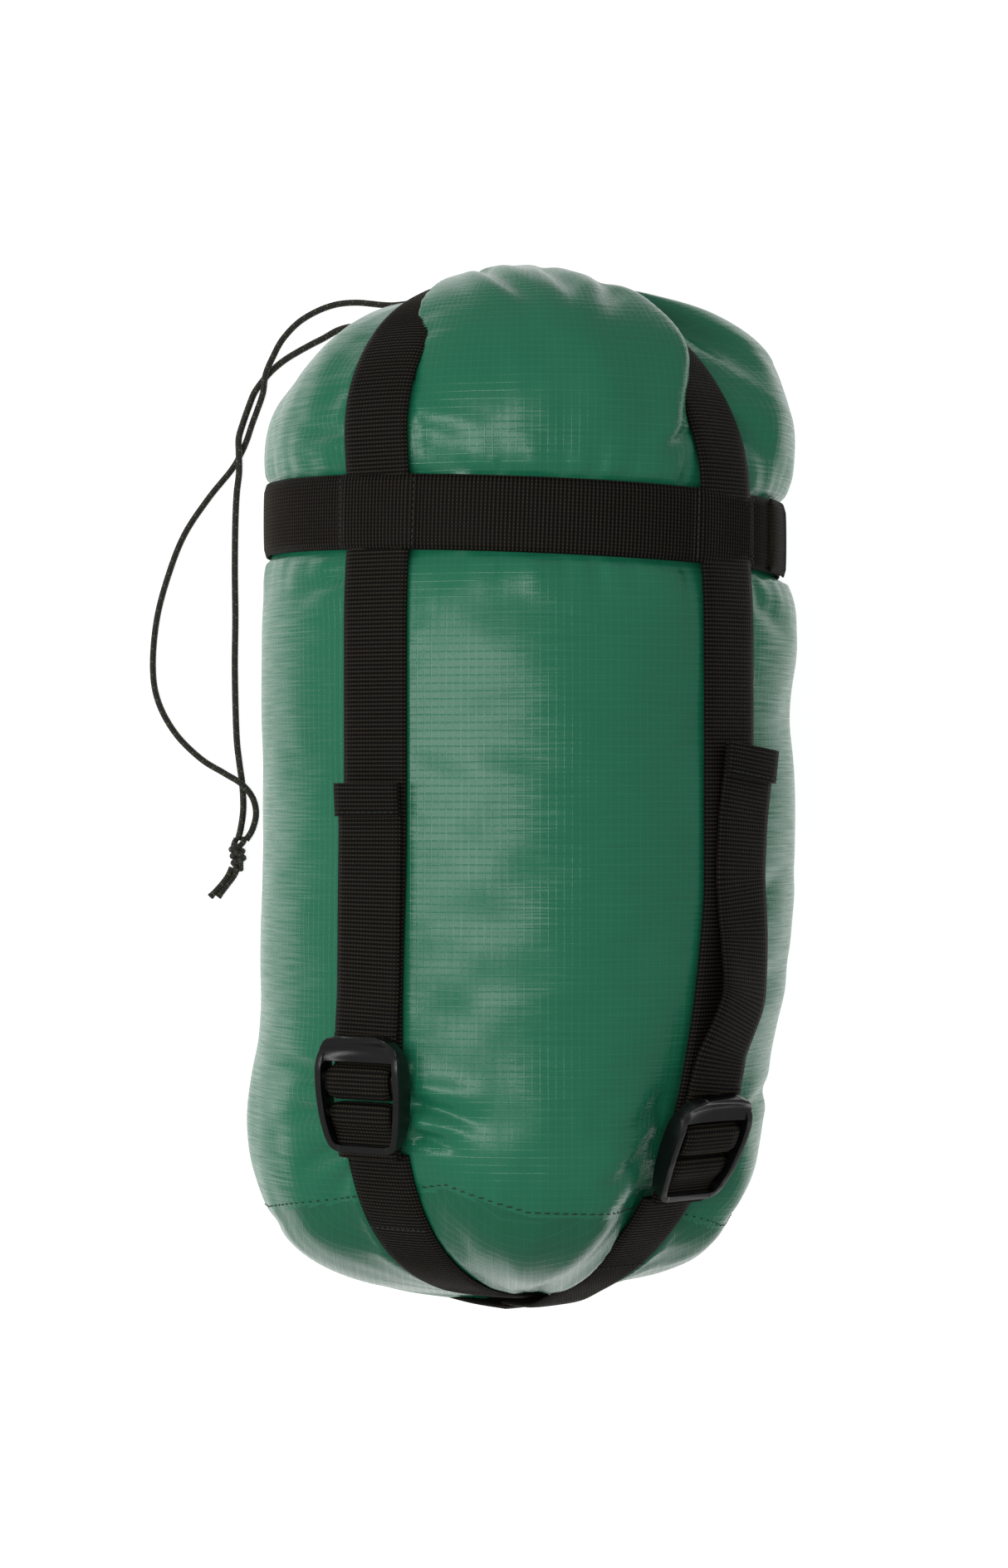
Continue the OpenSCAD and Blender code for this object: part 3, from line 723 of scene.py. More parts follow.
folds = [
    {"from": (-39, -105), "to": (-14, -112), "deep": 2.8, "wide": 2.4},
    {"from": (-38, -116), "to": (-22, -119), "deep": 2.6, "wide": 2.2},
    {"from": (-66, -99), "to": (-86, -94), "deep": 2.2, "wide": 2.4},
    {"from": (-64, -112), "to": (-84, -112), "deep": 1.8, "wide": 2.2, "bow": -1},
    {"from": (-62, -122), "to": (-78, -134), "deep": 1.8, "wide": 2.0, "bow": -2},
    {"from": (-57, -127), "to": (-66, -142), "deep": 1.6, "wide": 1.8, "bow": -1},
    {"from": (45, -104), "to": (28, -118), "deep": 0.9, "wide": 2.6, "bow": 2},
    {"from": (42, -118), "to": (22, -136), "deep": 1.6, "wide": 2.2, "bow": 2},
    {"from": (76, -112), "to": (90, -102), "deep": 1.6, "wide": 2.2},
    {"from": (74, -76), "to": (92, -58), "deep": 1.8, "wide": 3.0},
    {"from": (77, -40), "to": (93, -26), "deep": 1.5, "wide": 3.0},
    {"from": (78, 62), "to": (92, 50), "deep": 1.4, "wide": 2.4},
    {"from": (52, 118), "to": (46, 108), "deep": 1.6, "wide": 2.0},
    {"from": (65, 124), "to": (84, 112), "deep": 1.8, "wide": 2.4, "bow": 2},
    {"from": (-60, 70), "to": (-84, 62), "deep": 1.4, "wide": 2.4},
    {"from": (-62, 118), "to": (-80, 124), "deep": 1.4, "wide": 2.2, "bow": 2},
    {"from": (-4, 176), "to": (2, 160), "deep": 1.8, "wide": 1.6},
    {"from": (8, 175), "to": (14, 160), "deep": 1.8, "wide": 1.6},
    {"from": (18, 170), "to": (26, 154), "deep": 1.6, "wide": 1.8},
]
fan = dict(at=(22, 176, 112), count=21, deep=4.6, reach=72, edge=40.5, low=62, seed=31)
lobes = [
    dict(turn=-95, y=-122, out=6.5, wide=42, long=28), dict(turn=-95, y=-158, out=3.8, wide=40, long=15),
    dict(turn=-122, y=-171, out=6.4, wide=40, long=12), dict(turn=-138, y=-154, out=6.0, wide=26, long=15),
    dict(turn=88, y=-114, out=-10.5, wide=42, long=42),
    dict(turn=78, y=-152, out=-1.5, wide=30, long=12), dict(turn=112, y=-172, out=2.4, wide=36, long=10),
    dict(turn=-88, y=154, out=-9.0, wide=36, long=24),
    dict(turn=84, y=140, out=1.6, wide=30, long=22), dict(turn=66, y=166, out=-5.5, wide=34, long=15),
    dict(turn=90, y=48, out=1.6, wide=50, long=18), dict(turn=90, y=26, out=-1.8, wide=50, long=16),
    dict(turn=-90, y=-5, out=-1.6, wide=50, long=42),
    dict(turn=-66, y=-146, out=5.0, wide=22, long=18), dict(turn=-62, y=0, out=1.8, wide=22, long=90),
    dict(turn=68, y=0, out=1.8, wide=20, long=90), dict(turn=5, y=-140, out=4.0, wide=24, long=24),
    dict(turn=-6, y=171, out=4.5, wide=24, long=12),
    dict(turn=6, y=152, out=2.5, wide=28, long=24), dict(turn=4, y=0, out=1.5, wide=24, long=90),
]
mouth = dict(x=-3 * mm, z=47 * mm, pleats=23, deep=2.4 * mm, sunk=9 * mm)


def shapePoints(grid, theta, nudge=0.0):
    r0, y0, nr, ny = grid
    out = clothShape(theta, r0, y0, nr, ny) + nudge
    r, y = r0 + out * nr, y0 + out * ny
    x, z = r * np.sin(theta), sack["axis"] + r * np.cos(theta)
    dx, dz = x - mouth["x"], z - mouth["z"]
    reach = np.hypot(dx, dz)
    around = np.arctan2(dz, dx)
    ruck = np.sin(around * mouth["pleats"] + 2.2 * wavy(around * 3 + 20, wavyTable(41, 9)))
    ruck = ruck * (0.5 + 0.5 * wavy(around * 8 + 30, wavyTable(91, 10))) + 0.5 * ruck
    strength = mouth["deep"] * np.exp(-((reach - 17 * mm) / (34 * mm)) ** 2) * smooth(
        (y - 118 * mm) / (45 * mm))
    lift = ruck * strength
    y = y + lift * np.maximum(ny, 0.25)
    x = x + lift * nr * np.sin(theta)
    z = z + lift * nr * np.cos(theta)
    y = y - mouth["sunk"] * bump(reach, 11 * mm) * (y > 150 * mm)
    soft, room = 3.0 * mm, 14 * mm
    floorZ = 0.5 * mm + 1.3 * mm * np.exp(-((y - band["y"]) / (15 * mm)) ** 4)
    z = floorZ + soft * np.logaddexp(0, (z - floorZ) / soft)
    z = np.where(z > floorZ + room, z, np.minimum(z, floorZ + room))
    return np.stack([x, y, z], axis=-1)


def sackGrid(along, around):  # finer over the top than underneath, and one row follows the seam
    line, run = resample(halfOutline(sack["radius"], sack), along)
    normal = outlineNormals(line)
    count = int(round(wholeTurn * sack["radius"] / around / 2)) * 2
    theta = np.linspace(0, wholeTurn, count, endpoint=False)
    theta = theta + 0.4 * np.sin(theta) + math.pi
    row = run[int(np.argmin(np.abs(line[:, 1] - sack["seam"])))]
    shift = np.interp(seamY(theta), line[:, 1], run) - row
    at = run[1:-1, None] + shift[None, :] * bump(run[1:-1, None] - row, 34 * mm)
    grid = [np.interp(at, run, v) for v in (line[:, 0], line[:, 1], normal[:, 0], normal[:, 1])]
    return grid, np.repeat(theta[None, :], len(line) - 2, axis=0)


def gridFaces(rows, columns):
    faces = []
    for i in range(rows - 1):
        for k in range(columns):
            n = (k + 1) % columns
            faces.append((i * columns + k, i * columns + n, (i + 1) * columns + n, (i + 1) * columns + k))
    return faces


def closedFaces(rows, columns):  # the same with both ends shut
    last = (rows - 1) * columns
    return gridFaces(rows, columns) + [tuple(range(columns - 1, -1, -1)), tuple(range(last, last + columns))]


def underStraps(points, margin):  # 1 under the straps, band and seam and on the floor, 0 beyond them
    rho, theta = roundAxis(points)
    y, z = points[:, 1], points[:, 2]
    free = [(np.abs(besideStrap(side, rho, theta, y)[1]) - webbing["width"] / 2) / margin for side in straps]
    free.append((np.abs(y - bandLine(theta)) - band["width"] / 2) / margin)
    free.append((z - 2.5 * mm) / (3 * mm))
    free.append((np.abs(y - seamY(theta)) - 2 * mm) / (4 * mm))
    held = np.max([1 - smooth(away) for away in free], axis=0)
    return np.maximum(held, smooth((np.abs(y) - 168 * mm) / (5 * mm)))


relax = dict(quality=6, mass=0.12, tension_stiffness=12, compression_stiffness=12, shear_stiffness=3,
             bending_stiffness=0.12, air_damping=4, use_pressure=True, uniform_pressure_force=4,
             shrink_min=-0.006, vertex_group_mass="held", pin_stiffness=5)
relaxFrames, relaxMargin, relaxCap = 20, 5 * mm, 3 * mm


def relaxCloth(piece, gridShape):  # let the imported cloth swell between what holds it
    start = meshPoints(piece)
    group = piece.vertex_groups.new(name="held")
    for i, w in enumerate(underStraps(start, relaxMargin)):
        if w > 0.01:
            group.add([i], float(w), "REPLACE")
    swelling = piece.modifiers.new("cloth", "CLOTH")
    for setting, value in relax.items():
        setattr(swelling.settings, setting, value)
    swelling.settings.effector_weights.gravity = 0
    swelling.collision_settings.use_collision = False
    swelling.point_cache.frame_start, swelling.point_cache.frame_end = 1, relaxFrames
    scene = bpy.context.scene
    for frameNumber in range(1, relaxFrames + 1):
        scene.frame_set(frameNumber)
    applyModifiers(piece)
    scene.frame_set(1)
    moved = meshPoints(piece) - start
    for _ in range(4):  # keep the broad swell, not the small ripples
        field = moved.reshape(gridShape + (3,))
        field = (np.roll(field, 1, axis=1) + 2 * field + np.roll(field, -1, axis=1)) / 4
        field[1:-1] = (field[:-2] + 2 * field[1:-1] + field[2:]) / 4
        moved = field.reshape(-1, 3)
    size = np.linalg.norm(moved, axis=1)[:, None]
    moved *= np.minimum(1, relaxCap / np.maximum(size, 1e-9))
    setPoints(piece, start + moved)
    print("cloth moved, most and middle:", float(size.max()), float(np.median(size)))


def lockPlace(side):  # the lock's own frame: +Y along the strap to the mouth, +Z outwards
    item = straps[side]
    line = halfOutline(sack["radius"] + 0.2 * mm, {"base": item["base"], "mouth": item["mouth"]})
    y = item["lockY"]
    r, ahead, behind = (float(np.interp(v, line[:, 1], line[:, 0])) for v in (y, y + 1 * mm, y - 1 * mm))
    slope = math.atan2(ahead - behind, 2 * mm)
    return (Matrix.Translation((0, 0, sack["axis"])) @ Matrix.Rotation(math.radians(item["turn"]), 4, "Y")
            @ Matrix.Translation((0, y, r + 1.7 * mm / math.cos(slope))) @ Matrix.Rotation(slope, 4, "X"))


def pressCloth(piece):  # nothing of the cloth stands above what lies on it
    co = meshPoints(piece)
    batchSize = 4000  # keeps the table of distances small
    for side, item in straps.items():
        turn = math.radians(item["turn"])
        rho, theta = roundAxis(co)
        front, lateral = besideStrap(side, rho, theta, co[:, 1])
        radial = rho * np.abs(np.cos(theta - turn))
        batches = []
        for half, line in ((front, strapLines[side]), (~front, backLines[side])):
            ids = np.nonzero((np.abs(lateral) < 13.2 * mm) & half)[0]
            batches += [(line, outlineNormals(line), ids[begin:begin + batchSize])
                        for begin in range(0, len(ids), batchSize)]
        for line, normal, part in batches:
            p = np.stack([radial[part], co[part, 1]], axis=1)
            near = np.argmin(((p[:, None] - line[None]) ** 2).sum(-1), axis=1)
            off = ((p - line[near]) * normal[near]).sum(1) + 0.55 * mm
            off = np.maximum(off, 0) * (1 - smooth((np.abs(lateral[part]) - 12 * mm) / (1.2 * mm)))
            sign = np.where(front[part], 1, -1)
            co[part, 0] -= off * normal[near, 0] * sign * math.sin(turn)
            co[part, 2] -= off * normal[near, 0] * sign * math.cos(turn)
            co[part, 1] -= off * normal[near, 1]
        into = np.array(lockPlace(side).inverted())
        local = co @ into[:3, :3].T + into[:3, 3]
        inside = (1 - smooth((np.abs(local[:, 0]) - 17.5 * mm) / (5 * mm))) * (
            1 - smooth((np.abs(local[:, 1]) - 19 * mm) / (5 * mm)))
        sink = np.maximum(local[:, 2] + 1.2 * mm, 0) * inside * (local[:, 2] > -20 * mm)
        back = np.array(lockPlace(side))[:3, :3]
        co -= (sink[:, None] * np.array([[0, 0, 1.0]])) @ back.T
    rho, theta = roundAxis(co)
    near = 1 - smooth((np.abs(co[:, 1] - bandLine(theta)) - 12.5 * mm) / (3 * mm))
    limit = sack["radius"] - band["squeeze"] - 0.6 * mm - bandDip(theta)
    shrink = np.where(rho > limit, 1 + (limit / np.maximum(rho, 1e-6) - 1) * near, 1)
    co[:, 0] *= shrink
    co[:, 2] = sack["axis"] + (co[:, 2] - sack["axis"]) * shrink
    co[:, 2] = np.maximum(co[:, 2], 0.1 * mm)
    setPoints(piece, co)


# how far along each strap the crown folds over it, how far over and up, and how much it eases off at the end
brows = {"left": dict(sign=1, along=(116, 176), over=17, lift=2.6, ease=0),
         "right": dict(sign=-1, along=(108, 158), over=13, lift=3.6, ease=0.45)}


def overhang(piece):  # the full end folds over the inner edges of both straps
    co = meshPoints(piece)
    for side, brow in brows.items():
        turn = math.radians(straps[side]["turn"])
        rho, theta = roundAxis(co)
        front = smooth((np.cos(theta - turn) * rho - 6 * mm) / (14 * mm))
        d = (besideStrap(side, rho, theta, co[:, 1])[1] * brow["sign"] - 11.0 * mm) / mm
        across = smooth(d / 5.0) * (1 - smooth((d - 8) / 34))
        begin, full = brow["along"]
        w = across * front * smooth((co[:, 1] / mm - begin) / (full - begin))
        w = w * (1 - brow["ease"] * smooth((co[:, 1] / mm - 162) / 14))
        line = strapLines[side]
        slopeR = np.interp(co[:, 1], line[:, 1], outlineNormals(line)[:, 0])
        slopeY = np.sqrt(np.maximum(1 - slopeR ** 2, 0)) * np.sign(co[:, 1])
        out = np.stack([slopeR * math.sin(turn), slopeY, slopeR * math.cos(turn)], axis=1)
        out[:, 1] *= 0.45
        aside = np.array([math.cos(turn), 0, -math.sin(turn)]) * -brow["sign"]
        co += w[:, None] * (aside * brow["over"] * mm + out * brow["lift"] * mm)
    setPoints(piece, co)


def makeCloth():
    grid, theta = sackGrid(2.9 * mm, 4.0 * mm)
    points = shapePoints(grid, theta)
    whole = meshPiece("bodyCloth", points.reshape(-1, 3), closedFaces(*theta.shape), clothFinish)
    relaxCloth(whole, theta.shape)
    shade = whole.modifiers.new("fine", "SUBSURF")
    shade.levels = shade.render_levels = 1
    applyModifiers(whole)
    fineFolds(whole)
    pressCloth(whole)
    overhang(whole)
    co = meshPoints(whole)
    faces = [tuple(p.vertices) for p in whole.data.polygons]
    bpy.data.objects.remove(whole)
    middle = np.array([co[list(f)].mean(axis=0) for f in faces])
    above = middle[:, 1] >= seamY(roundAxis(middle)[1])
    pieces = {}
    for name, keep, finish in (("bodyCloth", above, clothFinish), ("bottomCloth", ~above, shadedBaseFinish)):
        kept = [f for f, k in zip(faces, keep) if k]
        used = np.unique(np.concatenate([np.array(f) for f in kept]))
        new = {int(v): i for i, v in enumerate(used)}
        piece = meshPiece(name, co[used], [tuple(new[v] for v in f) for f in kept], finish)
        clothUv(piece, name == "bottomCloth")
        pieces[name] = piece
    return pieces


def clothUv(piece, flatEnd):
    mesh = piece.data
    co = meshPoints(piece)
    corner = cornerVertices(mesh)
    if flatEnd:
        uv = co[corner][:, [0, 2]]
    else:
        line, run = resample(halfOutline(sack["radius"], sack), 1 * mm)
        theta = roundAxis(co)[1]
        along = np.interp(co[:, 1], line[:, 1], run)
        uv = np.stack([theta[corner] * sack["radius"], along[corner]], axis=1)
        full = wholeTurn * sack["radius"]
        for face in mesh.polygons:
            u = uv[face.loop_start:face.loop_start + face.loop_total, 0]
            if u.max() - u.min() > full / 2:
                u[u < 0] += full
    layer = mesh.uv_layers.new(name="UVMap")
    layer.data.foreach_set("uv", uv.ravel())


cloth = makeCloth()
fit(cloth["bodyCloth"], "cloth", "root", "body_panel")
fit(cloth["bottomCloth"], "base_cloth", "root", "bottom_panel")


def makePacking():  # the folded load, just inside the cloth
    grid, theta = sackGrid(8 * mm, 8 * mm)
    points = shapePoints(grid, theta, nudge=-6.5 * mm)
    points = points.reshape(-1, 3)
    points[:, 2] = np.maximum(points[:, 2], 3 * mm)
    piece = meshPiece("packedClothing", points, closedFaces(*theta.shape), packingFinish)
    fit(piece, "packing", "root", "packed_clothing")


makePacking()
print("cloth ready")


def ribbon(name, centre, normal, across, width=None, thick=None, crown=0.0):
    width, thick = width or webbing["width"], thick or webbing["thick"]
    run = runAlong(centre)
    top = np.linspace(-1, 1, 11)
    spots = [(x, 1) for x in top] + [(x, -1) for x in top[::-2]]
    wave = 0.5 + 0.5 * np.cos(wholeTurn * run / webbing["pitch"])
    points, uv = [], []
    for x, level in spots:
        flat = 1 - 0.55 * abs(x) ** 8
        edge = width / 2 * x + np.sign(x) * (abs(x) > 0.95) * (wave - 0.5) * 0.22 * mm
        height = level * (thick / 2 * flat) + level * wave * webbing["rib"] * (abs(x) < 0.99)
        height = height - crown * x * x
        points.append(centre + across * edge[:, None] + normal * height[:, None])
        uv.append(np.stack([np.full(len(run), width / 2 * x * level), run], axis=1))
    w, n = len(spots), len(run)
    points = np.stack(points, axis=1).reshape(-1, 3)
    uv = np.stack(uv, axis=1).reshape(-1, 2)
    faces = [(i * w + k, i * w + (k + 1) % w, (i + 1) * w + (k + 1) % w, (i + 1) * w + k)
             for i in range(n - 1) for k in range(w)]
    faces += [tuple(range(w - 1, -1, -1)), tuple((n - 1) * w + k for k in range(w))]
    piece = faceOutwards(meshPiece(name, points, faces, webbingFinish, uv))
    return piece


def fullLoop(side):  # once round the strap: front from the base pole to the mouth pole, then down the back
    half = strapLines[side]
    back = backLines[side][::-1][1:] * (-1, 1)
    loop = np.vstack([half, back])
    for _ in range(30):
        low = (loop[:, 1] < -150 * mm)[1:-1, None]
        loop[1:-1] = np.where(low, (loop[:-2] + 2 * loop[1:-1] + loop[2:]) / 4, loop[1:-1])
    loop, _ = resample(loop, webbing["pitch"] / 3)
    return loop


def strapFrames(side, loop, lift):
    item = straps[side]
    normal = outlineNormals(loop)
    mid = loop + normal * lift
    front = mid[:, 0] > 0
    shift = np.where(front, asideShift(side, mid[:, 1]), 0)
    angle = math.radians(item["turn"]) + shift / np.maximum(np.abs(mid[:, 0]), 30 * mm)
    out = np.stack([np.sin(angle), np.zeros(len(angle)), np.cos(angle)], axis=1)
    along = np.array([0, 1.0, 0])
    centre = mid[:, :1] * out + mid[:, 1:] * along + (0, 0, sack["axis"])
    face = normal[:, :1] * out + normal[:, 1:] * along
    across = np.stack([np.cos(angle), np.zeros(len(angle)), -np.sin(angle)], axis=1)
    return centre, face, across


def cutLoop(loop, keep):
    ids = np.nonzero(keep)[0]
    return loop[ids[0]:ids[-1] + 1]


def lockSlopeY(side, localY):
    return (lockPlace(side) @ Vector((0, localY * mm, 0))).y


def makeStraps(side):
    loop, place = fullLoop(side), lockPlace(side)
    apex = int(np.argmax(loop[:, 1] + (np.abs(loop[:, 0]) < 1 * mm) * 1e-3))
    frontPart = np.arange(len(loop)) < apex
    gapY, rimY = lockSlopeY(side, 1.0), lockSlopeY(side, -19.8)
    lift = webbing["thick"] / 2 + 0.1 * mm
    upper = cutLoop(loop, (frontPart & (loop[:, 1] > gapY)) | (~frontPart & (loop[:, 1] > -145 * mm)))
    piece = ribbon(f"{side}LongStrap", *strapFrames(side, upper, lift), crown=0.5 * mm)
    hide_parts(f"{side}_long_strap")
    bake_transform(piece)
    lower = cutLoop(loop, frontPart & (loop[:, 1] < rimY))
    backEnd = loop[~frontPart & (loop[:, 1] < -144 * mm)]
    whole = np.vstack([backEnd, lower[1:]])
    piece = ribbon(f"{side}BuckleStrap", *strapFrames(side, whole, lift), crown=0.3 * mm)
    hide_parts(f"{side}_buckle_strap")
    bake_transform(piece)


def localRibbon(side, name, route, width):  # webbing along a route in the lock's own frame
    place = lockPlace(side)
    line, _ = resample(softCurve(np.array(route, float) * mm, 8), webbing["pitch"] / 3)
    way = unit(np.gradient(line, axis=0))
    turn = np.array(place)[:3, :3]
    centre = np.stack([np.zeros(len(line)), line[:, 0], line[:, 1]], axis=1) @ turn.T + np.array(place)[:3, 3]
    normal = np.stack([np.zeros(len(line)), -way[:, 1], way[:, 0]], axis=1) @ turn.T
    across = np.repeat(np.array([[1.0, 0, 0]]) @ turn.T, len(line), axis=0)
    return ribbon(name, centre, normal, across, width=width)


def makeLockWebbing(side):
    wrap = localRibbon(side, f"{side}StrapWrap", [
        (-1.0, 0.5), (-0.9, 2.4), (-0.6, 4.6), (0.6, 6.1), (2.6, 6.5), (5.2, 6.5), (7.4, 6.1), (8.5, 4.6),
        (9.0, 2.4), (10.4, 1.3), (13.5, 1.1), (17.5, 1.1), (20.0, 1.1)], 25 * mm)
    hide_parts(f"{side}_strap_wrap")
    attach(wrap, f"{side}_lock")
    loopPiece = localRibbon(side, f"{side}WebbingLoop", [
        (-21.5, 2.0), (-18.5, 2.5), (-14.0, 2.9), (-11.0, 3.9), (-8.6, 5.0), (-5.6, 5.1), (-3.9, 4.2),
        (-3.7, 2.4), (-5.0, 1.0), (-9.0, 0.6), (-14.0, 0.6), (-21.5, 0.3)], 24 * mm)
    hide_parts(f"{side}_webbing_loop")
    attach(loopPiece, f"{side}_lock")


def tailWander(side, along):  # sideways drift of a free tail, and its lift off the strap
    t = along / straps[side]["tail"]
    if side == "left":
        lift = 0.5 * mm + 0.7 * mm * np.sin(t * math.pi) ** 2 + 1.0 * mm * smooth((t - 0.8) / 0.2)
        return 0.4 * mm * np.sin(t * 5), lift
    drift = np.interp(t, [0, 0.12, 0.28, 0.45, 0.62, 0.8, 1], [0, 1.6, 7.0, 6.2, 3.4, 4.8, 7.8]) * mm
    return drift, 0.5 * mm + 2.4 * mm * bump(t - 0.27, 0.16) + 0.8 * mm * smooth((t - 0.75) / 0.25)


def makeTail(side):
    item = straps[side]
    startY = lockSlopeY(side, 19.0)
    loop = fullLoop(side)
    apex = int(np.argmax(loop[:, 1]))
    keep = (np.arange(len(loop)) < apex) & (loop[:, 1] > startY) & (loop[:, 1] < startY + item["tail"])
    part = cutLoop(loop, keep)
    run = runAlong(part)
    drift, lift = tailWander(side, run)
    drift = soften(drift, 60)
    c, n, a = strapFrames(side, part, webbing["thick"] * 1.5 + 0.25 * mm)
    place = lockPlace(side)
    tip = place @ Vector((0, 19.2 * mm, 1.1 * mm))
    settle = 1 - smooth(run / (16 * mm))
    gap = np.array(tip) - c[0]
    c = c + a * drift[:, None] + n * lift[:, None] + settle[:, None] * (gap - n[0] * lift[0] - a[0] * drift[0])
    way = unit(np.gradient(c, axis=0))
    a = unit(a - way * (a * way).sum(1)[:, None])
    n = np.cross(a, way)
    n *= np.sign((n * (c - (0, 0, sack["axis"]))).sum(1))[:, None]
    twist = (0.16 * bump(run - 32 * mm, 20 * mm) if side == "right" else 0.0 * run)
    n2 = n * np.cos(twist)[:, None] + a * np.sin(twist)[:, None]
    a = a * np.cos(twist)[:, None] - n * np.sin(twist)[:, None]
    tail = ribbon(f"{side}StrapTail", c, n2, a, crown=0.35 * mm)
    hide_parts(f"{side}_strap_tail")
    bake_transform(tail)
    hem = run > run[-1] - 11 * mm
    hemPiece = ribbon(f"{side}TailHem", c[hem] + n2[hem] * 1.55 * mm, n2[hem], a[hem], width=25.6 * mm,
                      crown=0.35 * mm)
    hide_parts(f"{side}_tail_hem")
    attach(hemPiece, f"{side}_tail")
    row = int(np.argmin(np.abs(run - run[-1] + 9.5 * mm)))
    stitches = stitchRow([c[row] + n2[row] * 2.75 * mm + a[row] * s * mm for s in np.arange(-11, 11.1, 2.2)],
                         a[row], 1.5 * mm, 0.24 * mm, f"{side}TailStitches")
    fit(stitches, "thread", f"{side}_tail")


def stitchRow(spots, way, length, radius, name):
    ways = [way] * len(spots) if np.ndim(way) == 1 else way
    points, faces = [], []
    for p, w in zip(spots, ways):
        w = np.array(w) / np.linalg.norm(w)
        u = np.cross(w, (0.21, 0.4, 0.89))
        u /= np.linalg.norm(u)
        v = np.cross(w, u)
        start = len(points)
        for t, size in ((-0.5, 0.35), (-0.3, 0.9), (0, 1.1), (0.3, 0.9), (0.5, 0.35)):
            for k in range(6):
                q = wholeTurn * k / 6
                rim = math.cos(q) * u + math.sin(q) * v
                points.append(np.array(p) + w * t * length + radius * size * rim)
        for i in range(4):
            for k in range(6):
                n = (k + 1) % 6
                low, high = start + i * 6, start + (i + 1) * 6
                faces.append((low + k, low + n, high + n, high + k))
        faces.append(tuple(start + k for k in range(5, -1, -1)))
        faces.append(tuple(start + 24 + k for k in range(6)))
    return meshPiece(name, points, faces, threadFinish)


for side in straps:
    makeStraps(side)
    makeLockWebbing(side)
    makeTail(side)


def bandRadius(theta):
    base = sack["radius"] - band["squeeze"] + 0.35 * mm - bandDip(theta)
    for side, item in straps.items():
        shift = asideShift(side, band["y"]) / sack["radius"]
        for turn, extra in ((item["turn"], shift), (item["turn"] + 180, 0)):
            d = np.abs(angleFrom(theta - math.radians(turn), extra)) * sack["radius"]
            base = base + 1.5 * mm * (1 - smooth((d - 12 * mm) / (5 * mm)))
    return base


def bandFrames(theta, lift):
    r = bandRadius(theta)
    y = bandLine(theta)
    out = np.stack([np.sin(theta), np.zeros_like(theta), np.cos(theta)], axis=1)
    centre = out * r[:, None] + np.stack([0 * y, y, sack["axis"] + 0 * y], axis=1)
    floorZ = band["thick"] / 2 + 0.3 * mm
    soft = 1.2 * mm
    centre[:, 2] = floorZ + soft * np.logaddexp(0, (centre[:, 2] - floorZ) / soft)
    way = unit(np.gradient(centre, axis=0))
    across = np.tile(np.array([[0, 1.0, 0]]), (len(theta), 1))
    across = unit(across - way * (across * way).sum(1)[:, None])
    normal = np.cross(way, across)
    normal *= np.sign((normal * out).sum(1))[:, None]
    return centre + normal * lift, normal, across


def makeBand():
    sewnEnd, overlap = math.radians(band["sewnEnd"]), band["overlap"]
    around = wholeTurn * (sack["radius"] - 1 * mm)
    count = int(around / webbing["pitch"] * 3)
    theta = np.linspace(sewnEnd - wholeTurn, sewnEnd, count)
    c, n, a = bandFrames(theta, band["thick"] / 2 + 0.2 * mm)
    main = ribbon("girthBandLoop", c, n, a, thick=band["thick"], crown=0.2 * mm)
    extra = np.linspace(sewnEnd, sewnEnd + overlap, int(count * overlap / wholeTurn))
    c, n, a = bandFrames(extra, band["thick"] * 1.5 + 0.45 * mm)
    over = ribbon("girthBandEnd", c, n, a, thick=band["thick"], crown=0.2 * mm)
    fit(joinPieces("girthBand", [main, over]), "webbing", "root", "girth_band")
    spots, ways = [], []
    for side, item in straps.items():
        shift = math.degrees(asideShift(side, band["y"]) / sack["radius"])
        for turn in (item["turn"] + shift, item["turn"] + 180):
            for edge in (-8.6, 8.6):
                t = np.array([math.radians(turn + edge)] * 2)
                t[1] += 1e-4
                c, n, a = bandFrames(t, band["thick"] + 0.55 * mm)
                for s in np.arange(-10.5, 10.6, 2.1):
                    spots.append(c[0] + a[0] * s * mm)
                    ways.append(a[0])
    stitches = stitchRow(spots, ways, 1.5 * mm, 0.26 * mm, "girthBandStitches")
    fit(stitches, "thread", "root", "girth_band_thread")


makeBand()
print("webbing ready")


def makeSeam():
    seam = dict(reach=84 * mm, pitch=2.9 * mm, long=2.1 * mm, thread=0.21 * mm, above=1.6 * mm,
                floor=1.5 * mm)
    body = cloth["bodyCloth"]
    tree = BVHTree.FromPolygons([tuple(p) for p in meshPoints(body)],
                                [tuple(p.vertices) for p in body.data.polygons])
    spots, ways = [], []
    for theta in np.arange(-math.pi, math.pi, seam["pitch"] / seam["reach"]):
        inside = Vector((0, float(seamY(theta)) + seam["above"], sack["axis"]))
        way = Vector((math.sin(theta), 0, math.cos(theta)))
        hit = tree.ray_cast(inside, way)
        if hit[0] is None or hit[0].z < seam["floor"]:
            continue
        if any(abs(seam["reach"] * math.sin(math.radians(item["turn"]) - theta)) < 13 * mm
               for item in straps.values()):
            continue
        spots.append(np.array(hit[0]) + np.array(way) * 0.12 * mm)
        ways.append((math.cos(theta), 0, -math.sin(theta)))
    piece = stitchRow(spots, ways, seam["long"], seam["thread"], "bottomSeamStitches")
    fit(piece, "thread", "root", "bottom_seam_thread")


def makeLoopStitches(side):
    loop = fullLoop(side)
    apex = int(np.argmax(loop[:, 1]))
    y = lockSlopeY(side, -19.5) - 26 * mm
    frontIds = [i for i in range(apex) if loop[i, 0] > 20 * mm]
    row = min(frontIds, key=lambda i: abs(loop[i, 1] - y))
    c, n, a = strapFrames(side, loop, webbing["thick"] + 0.45 * mm)
    spots = [c[row] + a[row] * s * mm for s in np.arange(-10.5, 10.6, 2.1)]
    piece = stitchRow(spots, a[row], 1.5 * mm, 0.24 * mm, f"{side}LoopStitches")
    fit(piece, "thread", "root", f"{side}_loop_thread")


